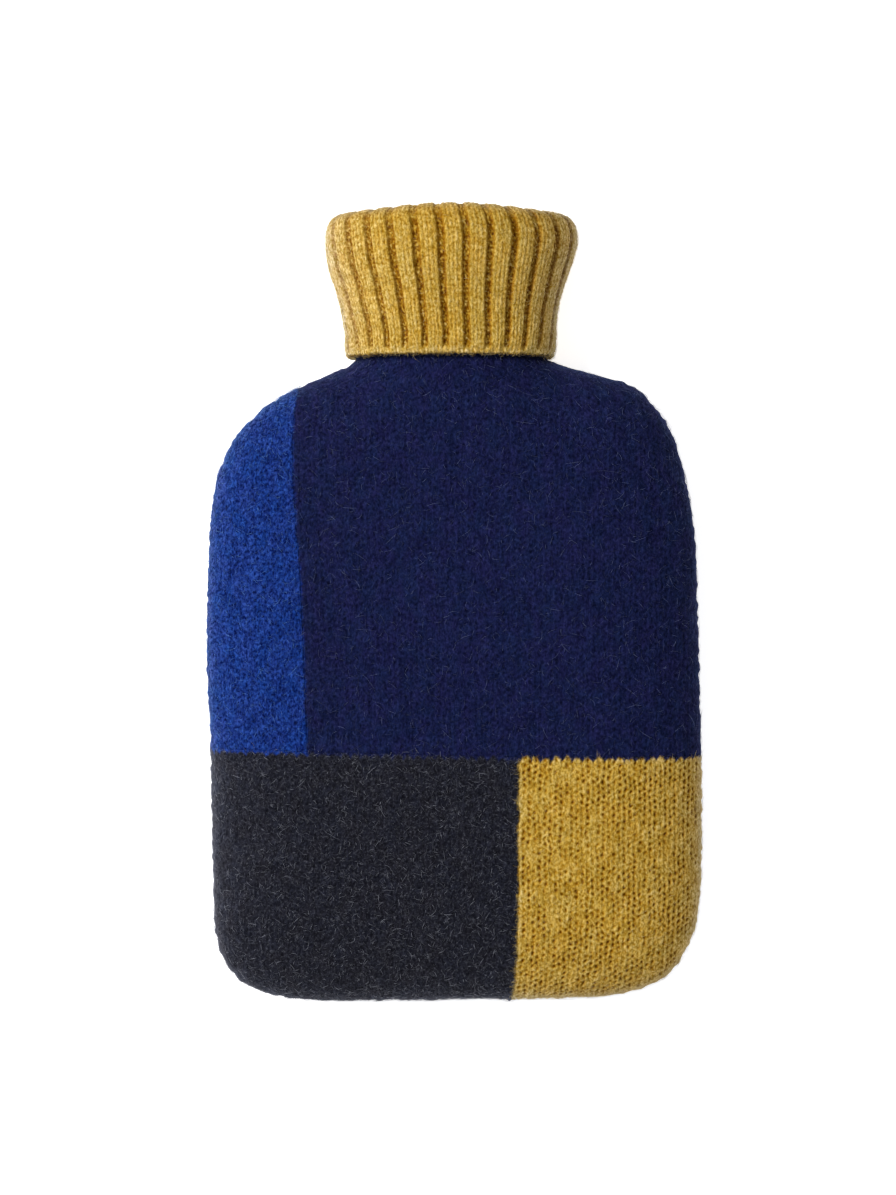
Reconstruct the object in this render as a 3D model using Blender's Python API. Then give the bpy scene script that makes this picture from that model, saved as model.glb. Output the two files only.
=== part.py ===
"""A knitted hot water bottle cover, lying on its back with its neck towards +Y.

Two panels of thick felted knitting meet at a seam that runs down the left side, along the
bottom and up the right side. A tube of 2 by 2 rib is joined to their neck, goes up from
there, and is rolled over outwards, down to the shoulders. Metres, +Z up. The origin is
under the middle of the whole cover, at the height of what it lies on.
"""

import math
from collections import namedtuple

import bpy
import numpy as np

# ---- Driving dimensions -------------------------------------------------------------
COVER_LENGTH = 0.3375  # bottom edge to the top of the rolled collar
SEAM_HEIGHT = 0.018  # the side seam above the surface
PANEL_CLOTH = 0.003  # thickness of the felted panels
RIB_CLOTH = 0.0032  # thickness of the ribbed collar
SEAM_GAP = 0.0003  # between pieces that are sewn together

# The panels, seen from the front. along: from the bottom edge. left, right: the seam, from
# the middle line. crown: the front above the seam. sag: the back below the seam. roll: how
# far in from the seam the cloth has levelled out.
Station = namedtuple("Station", "along left right crown sag roll")
PANEL_STATIONS = (
    Station(0.000, 0.1015, 0.1030, 0.0200, 0.0182, 0.0560),
    Station(0.040, 0.1022, 0.1046, 0.0200, 0.0182, 0.0560),
    Station(0.071, 0.1031, 0.1056, 0.0202, 0.0182, 0.0560),
    Station(0.112, 0.1038, 0.1052, 0.0204, 0.0182, 0.0560),
    Station(0.153, 0.1054, 0.1042, 0.0205, 0.0182, 0.0560),
    Station(0.194, 0.1045, 0.1031, 0.0206, 0.0182, 0.0560),
    Station(0.220, 0.1018, 0.0994, 0.0207, 0.0182, 0.0550),
    Station(0.235, 0.0967, 0.0954, 0.0208, 0.0182, 0.0540),
    Station(0.246, 0.0888, 0.0911, 0.0209, 0.0182, 0.0520),
    Station(0.256, 0.0775, 0.0838, 0.0210, 0.0182, 0.0490),
    Station(0.263, 0.0646, 0.0756, 0.0211, 0.0179, 0.0460),
    Station(0.269, 0.0490, 0.0548, 0.0212, 0.0160, 0.0430),
    Station(0.272, 0.0432, 0.0436, 0.0212, 0.0146, 0.0415),
    Station(0.275, 0.0423, 0.0386, 0.0213, 0.0140, 0.0405),
    Station(0.280, 0.0421, 0.0384, 0.0213, 0.0139, 0.0403),
    Station(0.294, 0.0420, 0.0384, 0.0213, 0.0139, 0.0402),
)
NECK_START = 0.275  # the shoulders end here, from the bottom edge
NECK_JOIN = 0.294  # and the collar is joined on here
BOTTOM_STRAIGHT = 0.50  # the share of the width that is straight at the bottom edge
CORNER_ACROSS = 6.0  # how square the bottom corners are, along the bottom edge
Corner = namedtuple("Corner", "reach square")  # how far up it reaches, how square it is
LEFT_CORNER = Corner(0.042, 2.8)
RIGHT_CORNER = Corner(0.050, 2.5)
BOTTOM_LIFT = 0.0014  # how much higher the bottom edge is on the right than on the left
BOTTOM_LIFT_REACH = 0.060  # how far up that shows

# The rolled collar's outer face. high, low: its front and back, above the surface.
Ring = namedtuple("Ring", "along left right high low")
COLLAR_RINGS = (
    Ring(0.2765, 0.0463, 0.0427, 0.0432, 0.0000),
    Ring(0.2840, 0.0462, 0.0432, 0.0440, 0.0000),
    Ring(0.2900, 0.0469, 0.0434, 0.0448, -0.0001),
    Ring(0.2975, 0.0483, 0.0443, 0.0460, -0.0002),
    Ring(0.3055, 0.0503, 0.0463, 0.0476, -0.0003),
    Ring(0.3130, 0.0528, 0.0487, 0.0494, -0.0004),
    Ring(0.3205, 0.0541, 0.0510, 0.0508, -0.0004),
    Ring(0.3275, 0.0545, 0.0523, 0.0514, -0.0004),
    Ring(COVER_LENGTH, 0.0530, 0.0505, 0.0500, -0.0002),
)
LAYER_GAP_HEM = 0.0005  # between the collar's two layers at the hem
LAYER_GAP_TOP = 0.0036  # and just under the fold
RIBS = 24  # raised ribs around the collar
RIB_DEPTH = 0.0012  # how deep the grooves between ribs are
RIB_RAISED = 0.68  # the share of each rib that is raised
COLLAR_SIDE_DIP = 0.0024  # how much lower the collar's top is at its sides
COLLAR_DIP_REACH = 0.045  # and how far from the middle line that is

FRONT_ROUNDNESS = 2.3  # exponent of the cross-sections above the seam: 2 is an ellipse
BACK_ROUNDNESS = 2.9  # and below the seam, where the cloth lies flat

# ---- How finely each surface is divided ---------------------------------------------
BOTTOM_END = 0.071  # the panels' rows crowd together below this, and above the next
SHOULDER_START = 0.220
ROWS_BOTTOM = 10
ROWS_MIDDLE = 7
ROWS_SHOULDER = 11
ROWS_NECK = 4
PANEL_COLUMNS = 22
SEAM_POINTS = 400
SEAM_STEP = 0.0004  # the short length of seam that gives its direction
POINTS_PER_RIB = 3
RING_SAMPLES = 1440
LAYER_ROWS = 5
FOLD_ROWS = 6
FOLD_ROWS_INSIDE = 3

MUSTARD = (0.48, 0.29, 0.075)
NAVY = (0.012, 0.013, 0.065)


# ---- Shared helpers -----------------------------------------------------------------
def clear_scene():
    for thing in list(bpy.data.objects):
        bpy.data.objects.remove(thing, do_unlink=True)


def wool(name, colour):
    material = bpy.data.materials.new(name)
    material.use_nodes = True
    shader = material.node_tree.nodes["Principled BSDF"]
    shader.inputs["Base Color"].default_value = (*colour, 1.0)
    shader.inputs["Roughness"].default_value = 0.95
    shader.inputs["Metallic"].default_value = 0.0
    return material


def add_object(name, points, faces, material):
    mesh = bpy.data.meshes.new(name)
    mesh.from_pydata([tuple(p) for p in points], [], faces)
    mesh.validate()
    mesh.materials.append(material)
    mesh.shade_smooth()
    mesh.set_sharp_from_angle(angle=math.radians(50))
    thing = bpy.data.objects.new(name, mesh)
    bpy.context.scene.collection.objects.link(thing)
    return thing


def smooth_column(rows, column, along):
    """One column of a table, read at a distance along by a smooth curve without overshoot."""
    x = np.array([row.along for row in rows])
    y = np.array([getattr(row, column) for row in rows])
    slope = np.diff(y) / np.diff(x)
    tangent = np.zeros(len(x))
    for i in range(1, len(x) - 1):
        if slope[i - 1] * slope[i] > 0:
            tangent[i] = 2 * slope[i - 1] * slope[i] / (slope[i - 1] + slope[i])
    tangent[0] = slope[0]
    tangent[-1] = slope[-1]
    at = min(max(along, x[0]), x[-1])
    i = min(int(np.searchsorted(x, at, side="right")) - 1, len(x) - 2)
    step = x[i + 1] - x[i]
    t = (at - x[i]) / step
    start = (1 + 2 * t) * (1 - t) ** 2 * y[i] + t * (1 - t) ** 2 * step * tangent[i]
    end = t * t * (3 - 2 * t) * y[i + 1] + t * t * (t - 1) * step * tangent[i + 1]
    return start + end


def from_middle(along):
    return along - COVER_LENGTH / 2


# ---- The two panels -----------------------------------------------------------------
def corner_share(along, corner):
    """How much of its width the panel has, near a rounded bottom corner."""
    straight = BOTTOM_STRAIGHT**CORNER_ACROSS
    above = max(0.0, 1 - along / corner.reach)
    return (1 - (1 - straight) * above**corner.square) ** (1 / CORNER_ACROSS)


def lifted(x, along):
    """The y of a point of the panels, whose bottom edge rises a little to the right."""
    across = min(1.0, max(0.0, x / PANEL_STATIONS[0].right + 0.3))
    near = max(0.0, 1 - along / BOTTOM_LIFT_REACH)
    return from_middle(along) + BOTTOM_LIFT * across * near


def seam_at(along):
    """The left and right seam at a distance from the bottom edge."""
    left = smooth_column(PANEL_STATIONS, "left", along) * corner_share(along, LEFT_CORNER)
    right = smooth_column(PANEL_STATIONS, "right", along) * corner_share(along, RIGHT_CORNER)
    return -left, right


def seam_line():
    """The seam as points: up the left side, up the right side and along the bottom edge."""
    alongs = NECK_JOIN * np.linspace(0, 1, SEAM_POINTS) ** 2
    left = np.array([(seam_at(along)[0], from_middle(along)) for along in alongs])
    right = np.array([(seam_at(along)[1], from_middle(along)) for along in alongs])
    shares = np.linspace(0, 1, SEAM_POINTS)[:, None]
    bottom = left[:1] * (1 - shares) + right[:1] * shares
    return np.vstack([left, right, bottom])


def panel_rows():
    """Distances along at which the panels are divided, closest where they curve most."""
    turns = np.linspace(0, math.pi / 2, ROWS_BOTTOM, endpoint=False)
    bottom = BOTTOM_END * (1 - np.cos(turns))
    middle = np.linspace(BOTTOM_END, SHOULDER_START, ROWS_MIDDLE, endpoint=False)
    shoulder = np.linspace(SHOULDER_START, NECK_START, ROWS_SHOULDER, endpoint=False)
    neck = np.linspace(NECK_START, NECK_JOIN, ROWS_NECK)
    return np.concatenate([bottom, middle, shoulder, neck])


def outward_at_seam(along, column):
    """The level direction out of the panel at its seam."""
    if along == 0 and 0 < column < PANEL_COLUMNS:
        return np.array([0.0, -1.0])
    low = max(0.0, along - SEAM_STEP)
    high = min(NECK_JOIN, along + SEAM_STEP)
    edge = 0 if column == 0 else 1
    across = -1 if column == 0 else 1
    widening = across * (seam_at(high)[edge] - seam_at(low)[edge])
    direction = np.array([across * (high - low), -widening])
    return direction / np.linalg.norm(direction)


def panel_surface(side):
    """Outer and inner points of a panel, as grids. side is 1 for the front, -1 for the back."""
    outline = seam_line()
    roundness = FRONT_ROUNDNESS if side > 0 else BACK_ROUNDNESS
    rise_column = "crown" if side > 0 else "sag"
    seam_z = SEAM_HEIGHT + side * SEAM_GAP / 2
    outer = []
    inner = []
    for along in panel_rows():
        left, right = seam_at(along)
        height = smooth_column(PANEL_STATIONS, rise_column, along)
        roll = smooth_column(PANEL_STATIONS, "roll", along)
        y = from_middle(along)
        for column in range(PANEL_COLUMNS + 1):
            turn = math.pi * (column / PANEL_COLUMNS - 0.5)
            x = (left + right) / 2 + (right - left) / 2 * math.sin(turn)
            on_seam = along == 0 or column in (0, PANEL_COLUMNS)
            away = np.array([x, y]) - outline
            distances = np.hypot(away[:, 0], away[:, 1])
            nearest = int(np.argmin(distances))
            if on_seam:
                distance = 0.0
                outward = outward_at_seam(along, column)
            else:
                distance = distances[nearest]
                outward = -away[nearest] / distance
            still = max(0.0, 1 - distance / roll)
            risen = (1 - still**roundness) ** (1 / roundness)
            lean = height / roll * still ** (roundness - 1)
            normal = np.array([*(outward * lean), side * risen ** (roundness - 1)])
            normal /= np.linalg.norm(normal)
            point = np.array([x, y, max(0.0, seam_z + side * height * risen)])
            point[1] += lifted(x, along) - y
            within = point - PANEL_CLOTH * normal
            if on_seam:
                within[2] = seam_z
            outer.append(point)
            inner.append(within)
    return outer, inner


def build_panel(name, side, material):
    outer, inner = panel_surface(side)
    across = PANEL_COLUMNS + 1
    rows = len(outer) // across
    count = len(outer)
    faces = []

    def quad(a, b, c, d):
        faces.append((a, b, c, d) if side > 0 else (d, c, b, a))

    for r in range(rows - 1):
        for c in range(across - 1):
            a = r * across + c
            quad(a, a + 1, a + 1 + across, a + across)
            quad(count + a + across, count + a + across + 1, count + a + 1, count + a)
    for c in range(across - 1):
        top = (rows - 1) * across + c
        quad(c + 1, c, count + c, count + c + 1)
        quad(top, top + 1, count + top + 1, count + top)
    for r in range(rows - 1):
        a = r * across
        b = a + across - 1
        quad(a, a + across, count + a + across, count + a)
        quad(b + across, b, count + b, count + b + across)
    return add_object(name, outer + inner, faces, material)


# ---- The rolled collar --------------------------------------------------------------
def ring_points(along, inset):
    """A loop of the collar at a distance along, drawn in by inset, three points to a rib."""
    left = smooth_column(COLLAR_RINGS, "left", along) - inset
    right = smooth_column(COLLAR_RINGS, "right", along) - inset
    high = smooth_column(COLLAR_RINGS, "high", along) - inset
    low = smooth_column(COLLAR_RINGS, "low", along) + inset
    turns = np.linspace(0, 2 * math.pi, RING_SAMPLES + 1)
    cos, sin = np.cos(turns), np.sin(turns)
    power = np.where(sin >= 0, 2 / FRONT_ROUNDNESS, 2 / BACK_ROUNDNESS)
    half = (left + right) / 2
    x = (right - left) / 2 + half * np.sign(cos) * np.abs(cos) ** power
    reach = np.where(sin >= 0, high - SEAM_HEIGHT, SEAM_HEIGHT - low)
    z = SEAM_HEIGHT + reach * np.sign(sin) * np.abs(sin) ** power
    run = np.concatenate([[0], np.cumsum(np.hypot(np.diff(x), np.diff(z)))])
    edge = (1 - RIB_RAISED) / 2
    parts = (0.5, 0.5 + edge, 1.5 - edge)  # a groove and the rib after it, from a rib's middle
    marks = [(rib + part) / RIBS for rib in range(RIBS) for part in parts]
    wanted = np.array(marks) % 1 * run[-1]
    return np.interp(wanted, run, x), np.interp(wanted, run, z)


def collar_path():
    """The section of the collar's cloth, once around it: along, inset and depth of groove.

    It goes up the face that shows, over the fold and down inside the mouth, then back up
    between the two layers and down to the hem.
    """
    hem = COLLAR_RINGS[0].along
    join = NECK_JOIN + SEAM_GAP
    fold = RIB_CLOTH + LAYER_GAP_TOP / 2
    inner_fold = LAYER_GAP_TOP / 2
    below_fold = COVER_LENGTH - fold

    def layer_gap(along):
        share = (along - hem) / (below_fold - hem)
        return LAYER_GAP_HEM + (LAYER_GAP_TOP - LAYER_GAP_HEM) * share

    path = []
    for along in np.linspace(hem, below_fold, LAYER_ROWS, endpoint=False):
        path.append((along, 0.0, RIB_DEPTH))
    for turn in np.linspace(0, math.pi, FOLD_ROWS + 1):
        along = below_fold + fold * math.sin(turn)
        path.append((along, fold * (1 - math.cos(turn)), RIB_DEPTH * math.cos(turn)))
    for along in np.linspace(below_fold, join, LAYER_ROWS)[1:]:
        path.append((along, 2 * RIB_CLOTH + layer_gap(along), -RIB_DEPTH))
    for along in np.linspace(join, below_fold, LAYER_ROWS)[:-1]:
        path.append((along, RIB_CLOTH + layer_gap(along), 0.0))
    for turn in np.linspace(math.pi, 0, FOLD_ROWS_INSIDE + 1):
        along = below_fold + inner_fold * math.sin(turn)
        path.append((along, fold - inner_fold * math.cos(turn), 0.0))
    for along in np.linspace(below_fold, hem, LAYER_ROWS)[1:]:
        path.append((along, RIB_CLOTH, 0.0))
    return path


def collar_dip(x, along):
    """How much lower the collar is at its sides, most at its top and nothing at its join."""
    join = NECK_JOIN + SEAM_GAP
    up = max(0.0, (along - join) / (COVER_LENGTH - join))
    turn = math.pi / 2 * min(1.0, abs(x) / COLLAR_DIP_REACH)
    return COLLAR_SIDE_DIP * up * math.sin(turn) ** 2


def build_collar(name, material):
    points = []
    around = POINTS_PER_RIB * RIBS
    path = collar_path()
    for along, inset, groove in path:
        raised = ring_points(along, inset)
        sunk = ring_points(along, inset + groove)
        for i in range(around):
            xs, zs = sunk if i % POINTS_PER_RIB == 0 else raised
            y = from_middle(along) - collar_dip(xs[i], along)
            points.append((xs[i], y, max(0.0, zs[i])))
    faces = []
    for k in range(len(path)):
        here = k * around
        there = (k + 1) % len(path) * around
        for i in range(around):
            j = (i + 1) % around
            faces.append((there + i, there + j, here + j, here + i))
    return add_object(name, points, faces, material)


def main():
    clear_scene()
    build_panel("front_panel", 1, wool("front wool", NAVY))
    build_panel("back_panel", -1, wool("back wool", NAVY))
    build_collar("collar", wool("collar wool", MUSTARD))


main()
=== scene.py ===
# %% [markdown]
# # A knitted cover for a hot water bottle
#
# Two panels of thick lambswool knitting meet at a seam round their sides and bottom, and a
# tube of rib is joined to their neck and rolled over outwards. The front is knitted in four
# plain blocks of colour. The cloth has been brushed and felted, so the stitches of the blues
# and the charcoal have almost closed, and those of the mustard still show.
#
# The imported CAD model is the frame that everything is built in: metres, +Z up, the cover on
# its back with its neck towards +Y. It is loaded first.

# %% Load the frame
import math
from collections import namedtuple

import bpy
import numpy as np
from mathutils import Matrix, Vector
from mathutils.kdtree import KDTree


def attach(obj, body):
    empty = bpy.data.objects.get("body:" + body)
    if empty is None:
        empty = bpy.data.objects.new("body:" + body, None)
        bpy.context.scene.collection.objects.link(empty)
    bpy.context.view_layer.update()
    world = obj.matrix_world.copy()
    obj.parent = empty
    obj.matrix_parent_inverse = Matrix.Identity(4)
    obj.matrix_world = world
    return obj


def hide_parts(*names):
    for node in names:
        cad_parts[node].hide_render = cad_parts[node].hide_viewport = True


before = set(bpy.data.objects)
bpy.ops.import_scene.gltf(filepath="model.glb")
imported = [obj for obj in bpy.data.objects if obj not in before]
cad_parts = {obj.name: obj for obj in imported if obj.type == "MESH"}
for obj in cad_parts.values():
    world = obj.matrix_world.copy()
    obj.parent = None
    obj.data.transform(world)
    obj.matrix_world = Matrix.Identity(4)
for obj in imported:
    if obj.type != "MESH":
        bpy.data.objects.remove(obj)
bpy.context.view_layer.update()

print("CAD nodes:", sorted(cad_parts))

# %% [markdown]
# ## The camera
#
# The cover is seen from straight above, a little over a metre away. At that distance the
# collar, which is nearest, looks slightly larger than the rest, as it does in the photograph.
# A camera that has not been turned looks down -Z with +Y up, so it only needs a place and a
# focal length. The focal length comes from how large a pixel is at the height of the side
# seam.

# %% Camera
IMAGE_HEIGHT = 1195  # pixels
PIXEL_AT_SEAM = 0.0004277  # metres that one pixel covers at the height of the side seam
SEAM_HEIGHT = 0.018
CAMERA_HEIGHT = 1.2
CAMERA_PLACE = (-0.0026, 0.0040)
SENSOR = 36.0  # millimetres, along the long side of the image


def add_camera():
    data = bpy.data.cameras.new("camera")
    data.sensor_width = SENSOR
    reach = (CAMERA_HEIGHT - SEAM_HEIGHT) / PIXEL_AT_SEAM
    data.lens = SENSOR * reach / IMAGE_HEIGHT
    camera = bpy.data.objects.new("camera", data)
    camera.location = (*CAMERA_PLACE, CAMERA_HEIGHT)
    bpy.context.scene.collection.objects.link(camera)
    bpy.context.scene.camera = camera
    return camera


camera = add_camera()
print("lens:", round(camera.data.lens, 2), "mm")

# %% [markdown]
# ## The sizes of the cover
#
# The cloth follows the same tables as the CAD model. A station gives the panels' outline and
# how far the front and the back bulge, at one distance from the bottom edge. A ring gives the
# outer face of the rolled collar. Between the rows of a table a smooth curve without
# overshoot is read, which keeps the outline fair with few numbers.

# %% Tables
COVER_LENGTH = 0.3375
PANEL_CLOTH = 0.003
RIB_CLOTH = 0.0032
Station = namedtuple("Station", "along left right crown sag roll")
PANEL_STATIONS = (
    Station(0.000, 0.1015, 0.1030, 0.0200, 0.0182, 0.0560),
    Station(0.040, 0.1022, 0.1046, 0.0200, 0.0182, 0.0560),
    Station(0.071, 0.1031, 0.1056, 0.0202, 0.0182, 0.0560),
    Station(0.112, 0.1038, 0.1052, 0.0204, 0.0182, 0.0560),
    Station(0.153, 0.1054, 0.1042, 0.0205, 0.0182, 0.0560),
    Station(0.194, 0.1045, 0.1031, 0.0206, 0.0182, 0.0560),
    Station(0.220, 0.1018, 0.0994, 0.0207, 0.0182, 0.0550),
    Station(0.235, 0.0967, 0.0954, 0.0208, 0.0182, 0.0540),
    Station(0.246, 0.0888, 0.0911, 0.0209, 0.0182, 0.0520),
    Station(0.256, 0.0775, 0.0838, 0.0210, 0.0182, 0.0490),
    Station(0.263, 0.0646, 0.0756, 0.0211, 0.0179, 0.0460),
    Station(0.269, 0.0501, 0.0552, 0.0212, 0.0160, 0.0430),
    Station(0.272, 0.0440, 0.0448, 0.0212, 0.0146, 0.0415),
    Station(0.275, 0.0414, 0.0390, 0.0213, 0.0140, 0.0405),
    Station(0.280, 0.0421, 0.0384, 0.0213, 0.0139, 0.0403),
    Station(0.294, 0.0420, 0.0384, 0.0213, 0.0139, 0.0402),
)
NECK_JOIN = 0.294
Ring = namedtuple("Ring", "along left right high low")
COLLAR_RINGS = (
    Ring(0.2765, 0.0463, 0.0427, 0.0432, 0.0000),
    Ring(0.2840, 0.0462, 0.0432, 0.0440, 0.0000),
    Ring(0.2900, 0.0469, 0.0434, 0.0448, -0.0001),
    Ring(0.2975, 0.0483, 0.0443, 0.0460, -0.0002),
    Ring(0.3055, 0.0503, 0.0463, 0.0476, -0.0003),
    Ring(0.3130, 0.0528, 0.0487, 0.0494, -0.0004),
    Ring(0.3205, 0.0541, 0.0510, 0.0508, -0.0004),
    Ring(0.3275, 0.0545, 0.0523, 0.0514, -0.0004),
    Ring(COVER_LENGTH, 0.0530, 0.0505, 0.0500, -0.0002),
)
FRONT_ROUNDNESS = 2.3
BACK_ROUNDNESS = 2.9


def smooth_column(rows, column, along):
    """One column of a table, read at distances along by a smooth curve without overshoot."""
    x = np.array([row.along for row in rows])
    y = np.array([getattr(row, column) for row in rows])
    slope = np.diff(y) / np.diff(x)
    tangent = np.zeros(len(x))
    tangent[0], tangent[-1] = slope[0], slope[-1]
    for i in range(1, len(x) - 1):
        if slope[i - 1] * slope[i] > 0:
            tangent[i] = 2 * slope[i - 1] * slope[i] / (slope[i - 1] + slope[i])
    at = np.clip(along, x[0], x[-1])
    i = np.clip(np.searchsorted(x, at, side="right") - 1, 0, len(x) - 2)
    step = x[i + 1] - x[i]
    t = (at - x[i]) / step
    start = (1 + 2 * t) * (1 - t) ** 2 * y[i] + t * (1 - t) ** 2 * step * tangent[i]
    end = t * t * (3 - 2 * t) * y[i + 1] + t * t * (t - 1) * step * tangent[i + 1]
    return start + end


def from_middle(along):
    return along - COVER_LENGTH / 2


print(len(PANEL_STATIONS), "stations and", len(COLLAR_RINGS), "rings")

# %% [markdown]
# ## The seam
#
# The front and the back meet at a seam. It is drawn once, as a fine chain of points with
# rounded bottom corners, and a KD tree finds the nearest part of it for any number of points.
# The way to the seam is also the direction that the cloth faces, seen from above.

# %% The seam
BOTTOM_STRAIGHT = 0.50  # the share of the width that is straight at the bottom edge
CORNER_ACROSS = 6.0  # how square the bottom corners are, along the bottom edge
Corner = namedtuple("Corner", "reach square")
LEFT_CORNER = Corner(0.042, 2.8)
RIGHT_CORNER = Corner(0.050, 2.5)
SEAM_POINTS = 3000
TOUCHING = 0.00001  # closer than this, the way to the seam has no direction of its own


def corner_share(along, corner):
    straight = BOTTOM_STRAIGHT**CORNER_ACROSS
    above = np.maximum(0.0, 1 - along / corner.reach)
    return (1 - (1 - straight) * above**corner.square) ** (1 / CORNER_ACROSS)


def seam_left(along):
    return -smooth_column(PANEL_STATIONS, "left", along) * corner_share(along, LEFT_CORNER)


def seam_right(along):
    return smooth_column(PANEL_STATIONS, "right", along) * corner_share(along, RIGHT_CORNER)


def seam_chain():
    """The seam, down the left side, along the bottom and up the right side."""
    alongs = NECK_JOIN * np.linspace(0, 1, SEAM_POINTS) ** 2
    left = np.column_stack([seam_left(alongs), from_middle(alongs)])
    right = np.column_stack([seam_right(alongs), from_middle(alongs)])
    shares = np.linspace(0, 1, SEAM_POINTS)[1:-1, None]
    bottom = left[:1] * (1 - shares) + right[:1] * shares
    return np.vstack([left[::-1], bottom, right])


SEAM = seam_chain()
SEAM_TREE = KDTree(len(SEAM))
for number, spot in enumerate(SEAM):
    SEAM_TREE.insert((*spot, 0.0), number)
SEAM_TREE.balance()


def nearest_on_seam(x, y):
    """Distance to the seam, and the level direction towards it."""
    places = np.column_stack([x, y])
    found = np.array([SEAM_TREE.find((a, b, 0.0))[1] for a, b in places.tolist()])
    found = np.clip(found, 1, len(SEAM) - 2)
    distance = np.full(len(places), np.inf)
    outward = np.zeros_like(places)
    for start in (found - 1, found):
        a, b = SEAM[start], SEAM[start + 1]
        run = b - a
        share = np.sum((places - a) * run, axis=1) / np.sum(run * run, axis=1)
        near = a + np.clip(share, 0, 1)[:, None] * run
        far = np.hypot(*(near - places).T)
        square = np.column_stack([run[:, 1], -run[:, 0]]) / np.hypot(*run.T)[:, None]
        way = (near - places) / (far[:, None] + 1e-12)
        towards = np.where(far[:, None] > TOUCHING, way, square)
        closer = far < distance
        distance = np.where(closer, far, distance)
        outward = np.where(closer[:, None], towards, outward)
    return distance, outward


print("seam length:", round(float(np.sum(np.hypot(*np.diff(SEAM, axis=0).T))), 3), "m")

# %% [markdown]
# ## The skin of a panel
#
# A filled cover is fullest in the middle and rolls over to its seam, equally all round. So
# the height of the cloth is read from how far a point is from the seam, and its station says
# how high and how wide that curve is. The slope there gives the normal, which is needed to
# push stitches out of the cloth and to give it thickness. The bottom edge is drawn in a
# little by its seam, and lifted on the right, as the photographed cover's is.

# %% The skin of a panel
BOTTOM_LIFT = 0.0014  # how much higher the bottom edge is on the right than on the left
BOTTOM_LIFT_START = 0.3  # it starts this share of the half width to the left of the middle
BOTTOM_LIFT_REACH = 0.060  # how far up that shows
EDGE_DRAW = 0.0009  # the stitches of the bottom edge are drawn in by their seam
EDGE_DRAW_HALF = 0.09  # over this half width
EDGE_DRAW_REACH = 0.03  # and this far up
ON_THE_SEAM = 0.00004  # a point this close to the chain is on it


def bottom_lift(x, along):
    """How far the bottom edge is lifted by the slant of the cover and drawn in by its seam."""
    across = np.clip(x / PANEL_STATIONS[0].right + BOTTOM_LIFT_START, 0, 1)
    lift = BOTTOM_LIFT * across * np.maximum(0, 1 - along / BOTTOM_LIFT_REACH)
    middle = np.maximum(0, 1 - (x / EDGE_DRAW_HALF) ** 4)
    return lift + EDGE_DRAW * middle * np.maximum(0, 1 - along / EDGE_DRAW_REACH)


def panel_skin(x, along, side):
    """Points and normals of a panel's outer face. side is 1 for the front, -1 for the back."""
    shape = np.shape(x)
    x, along = np.ravel(x), np.ravel(along)
    distance, outward = nearest_on_seam(x, from_middle(along))
    distance = np.maximum(0, distance - ON_THE_SEAM)
    roundness = FRONT_ROUNDNESS if side > 0 else BACK_ROUNDNESS
    height = smooth_column(PANEL_STATIONS, "crown" if side > 0 else "sag", along)
    roll = smooth_column(PANEL_STATIONS, "roll", along)
    still = np.maximum(0.0, 1 - distance / roll)
    risen = (1 - still**roundness) ** (1 / roundness)
    lean = height / roll * still ** (roundness - 1)
    normal = np.column_stack([outward * lean[:, None], side * risen ** (roundness - 1)])
    normal /= np.linalg.norm(normal, axis=1)[:, None]
    z = SEAM_HEIGHT + side * height * risen
    points = np.column_stack([x, from_middle(along) + bottom_lift(x, along), z])
    return points.reshape(*shape, 3), normal.reshape(*shape, 3), outward.reshape(*shape, 2)


print("the middle of the front is at", panel_skin(0.0, 0.15, 1)[0].round(4))

# %% [markdown]
# ## Where the colours meet
#
# The four blocks meet along lines of stitches. The line between the royal blue and the navy
# leans, because the cloth was pulled a little as it was laid out, and so does the one between
# the charcoal and the mustard. Both are tables that are read like the others. Between the two
# lies a whole number of wales, the knitter's columns, and that gives the width of a stitch.

# %% Borders
Border = namedtuple("Border", "along x")
ROYAL_BORDER = (
    Border(0.0000, -0.0605),
    Border(0.1055, -0.0617),
    Border(0.1297, -0.0626),
    Border(0.1800, -0.0648),
    Border(0.2074, -0.0669),
    Border(0.2368, -0.0681),
    Border(0.2604, -0.0664),
    Border(0.2940, -0.0630),
)
MUSTARD_BORDER = (
    Border(0.0000, 0.0250),
    Border(0.0105, 0.0259),
    Border(0.0385, 0.0269),
    Border(0.0717, 0.0270),
    Border(0.1055, 0.0274),
    Border(0.2940, 0.0280),
)
ROYAL_SIDE = 0.0620  # how far left of the middle the royal blue ends, just above the waist
MUSTARD_SIDE = 0.0274  # and how far right of it the mustard starts, just below
WALES_BETWEEN = 20  # between the two
WALE = (MUSTARD_SIDE + ROYAL_SIDE) / WALES_BETWEEN
print("wale:", round(WALE * 1000, 2), "mm")

# %% [markdown]
# ## Rows of knitting
#
# A row is named by its distance from the bottom edge at the right, because the rows rise a
# little towards the left, those half way up most. `survey` measures across each row over
# the curve of the cloth, and `middle_run` measures up the middle of a panel, so that rows
# and columns can be spaced evenly over the cloth and not over the floor it lies on.

# %% Rows of knitting
WAIST = 0.1055  # the row between the upper and the lower blocks, from the bottom edge
WAIST_RISE = 0.0037  # the most that a row is higher at the left
RISE_START = 0.028  # the rows rise to the left of this x
RISE_WIDE = 0.1315  # over this width
ACROSS_SAMPLES = 300
ALONG_SAMPLES = 3000


def row_tilt(x, row):
    """How much higher a row of stitches is at x than at the right."""
    share = np.clip((RISE_START - x) / RISE_WIDE, 0, 1)
    return WAIST_RISE * share * np.sin(math.pi * row / NECK_JOIN)


def panel_edges(rows):
    """The left and right ends of rows of stitches, which end on the seam."""
    left, right = seam_left(rows), seam_right(rows)
    for _ in range(3):
        left = seam_left(rows + row_tilt(left, rows))
        right = seam_right(rows + row_tilt(right, rows))
    return left, right


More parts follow.
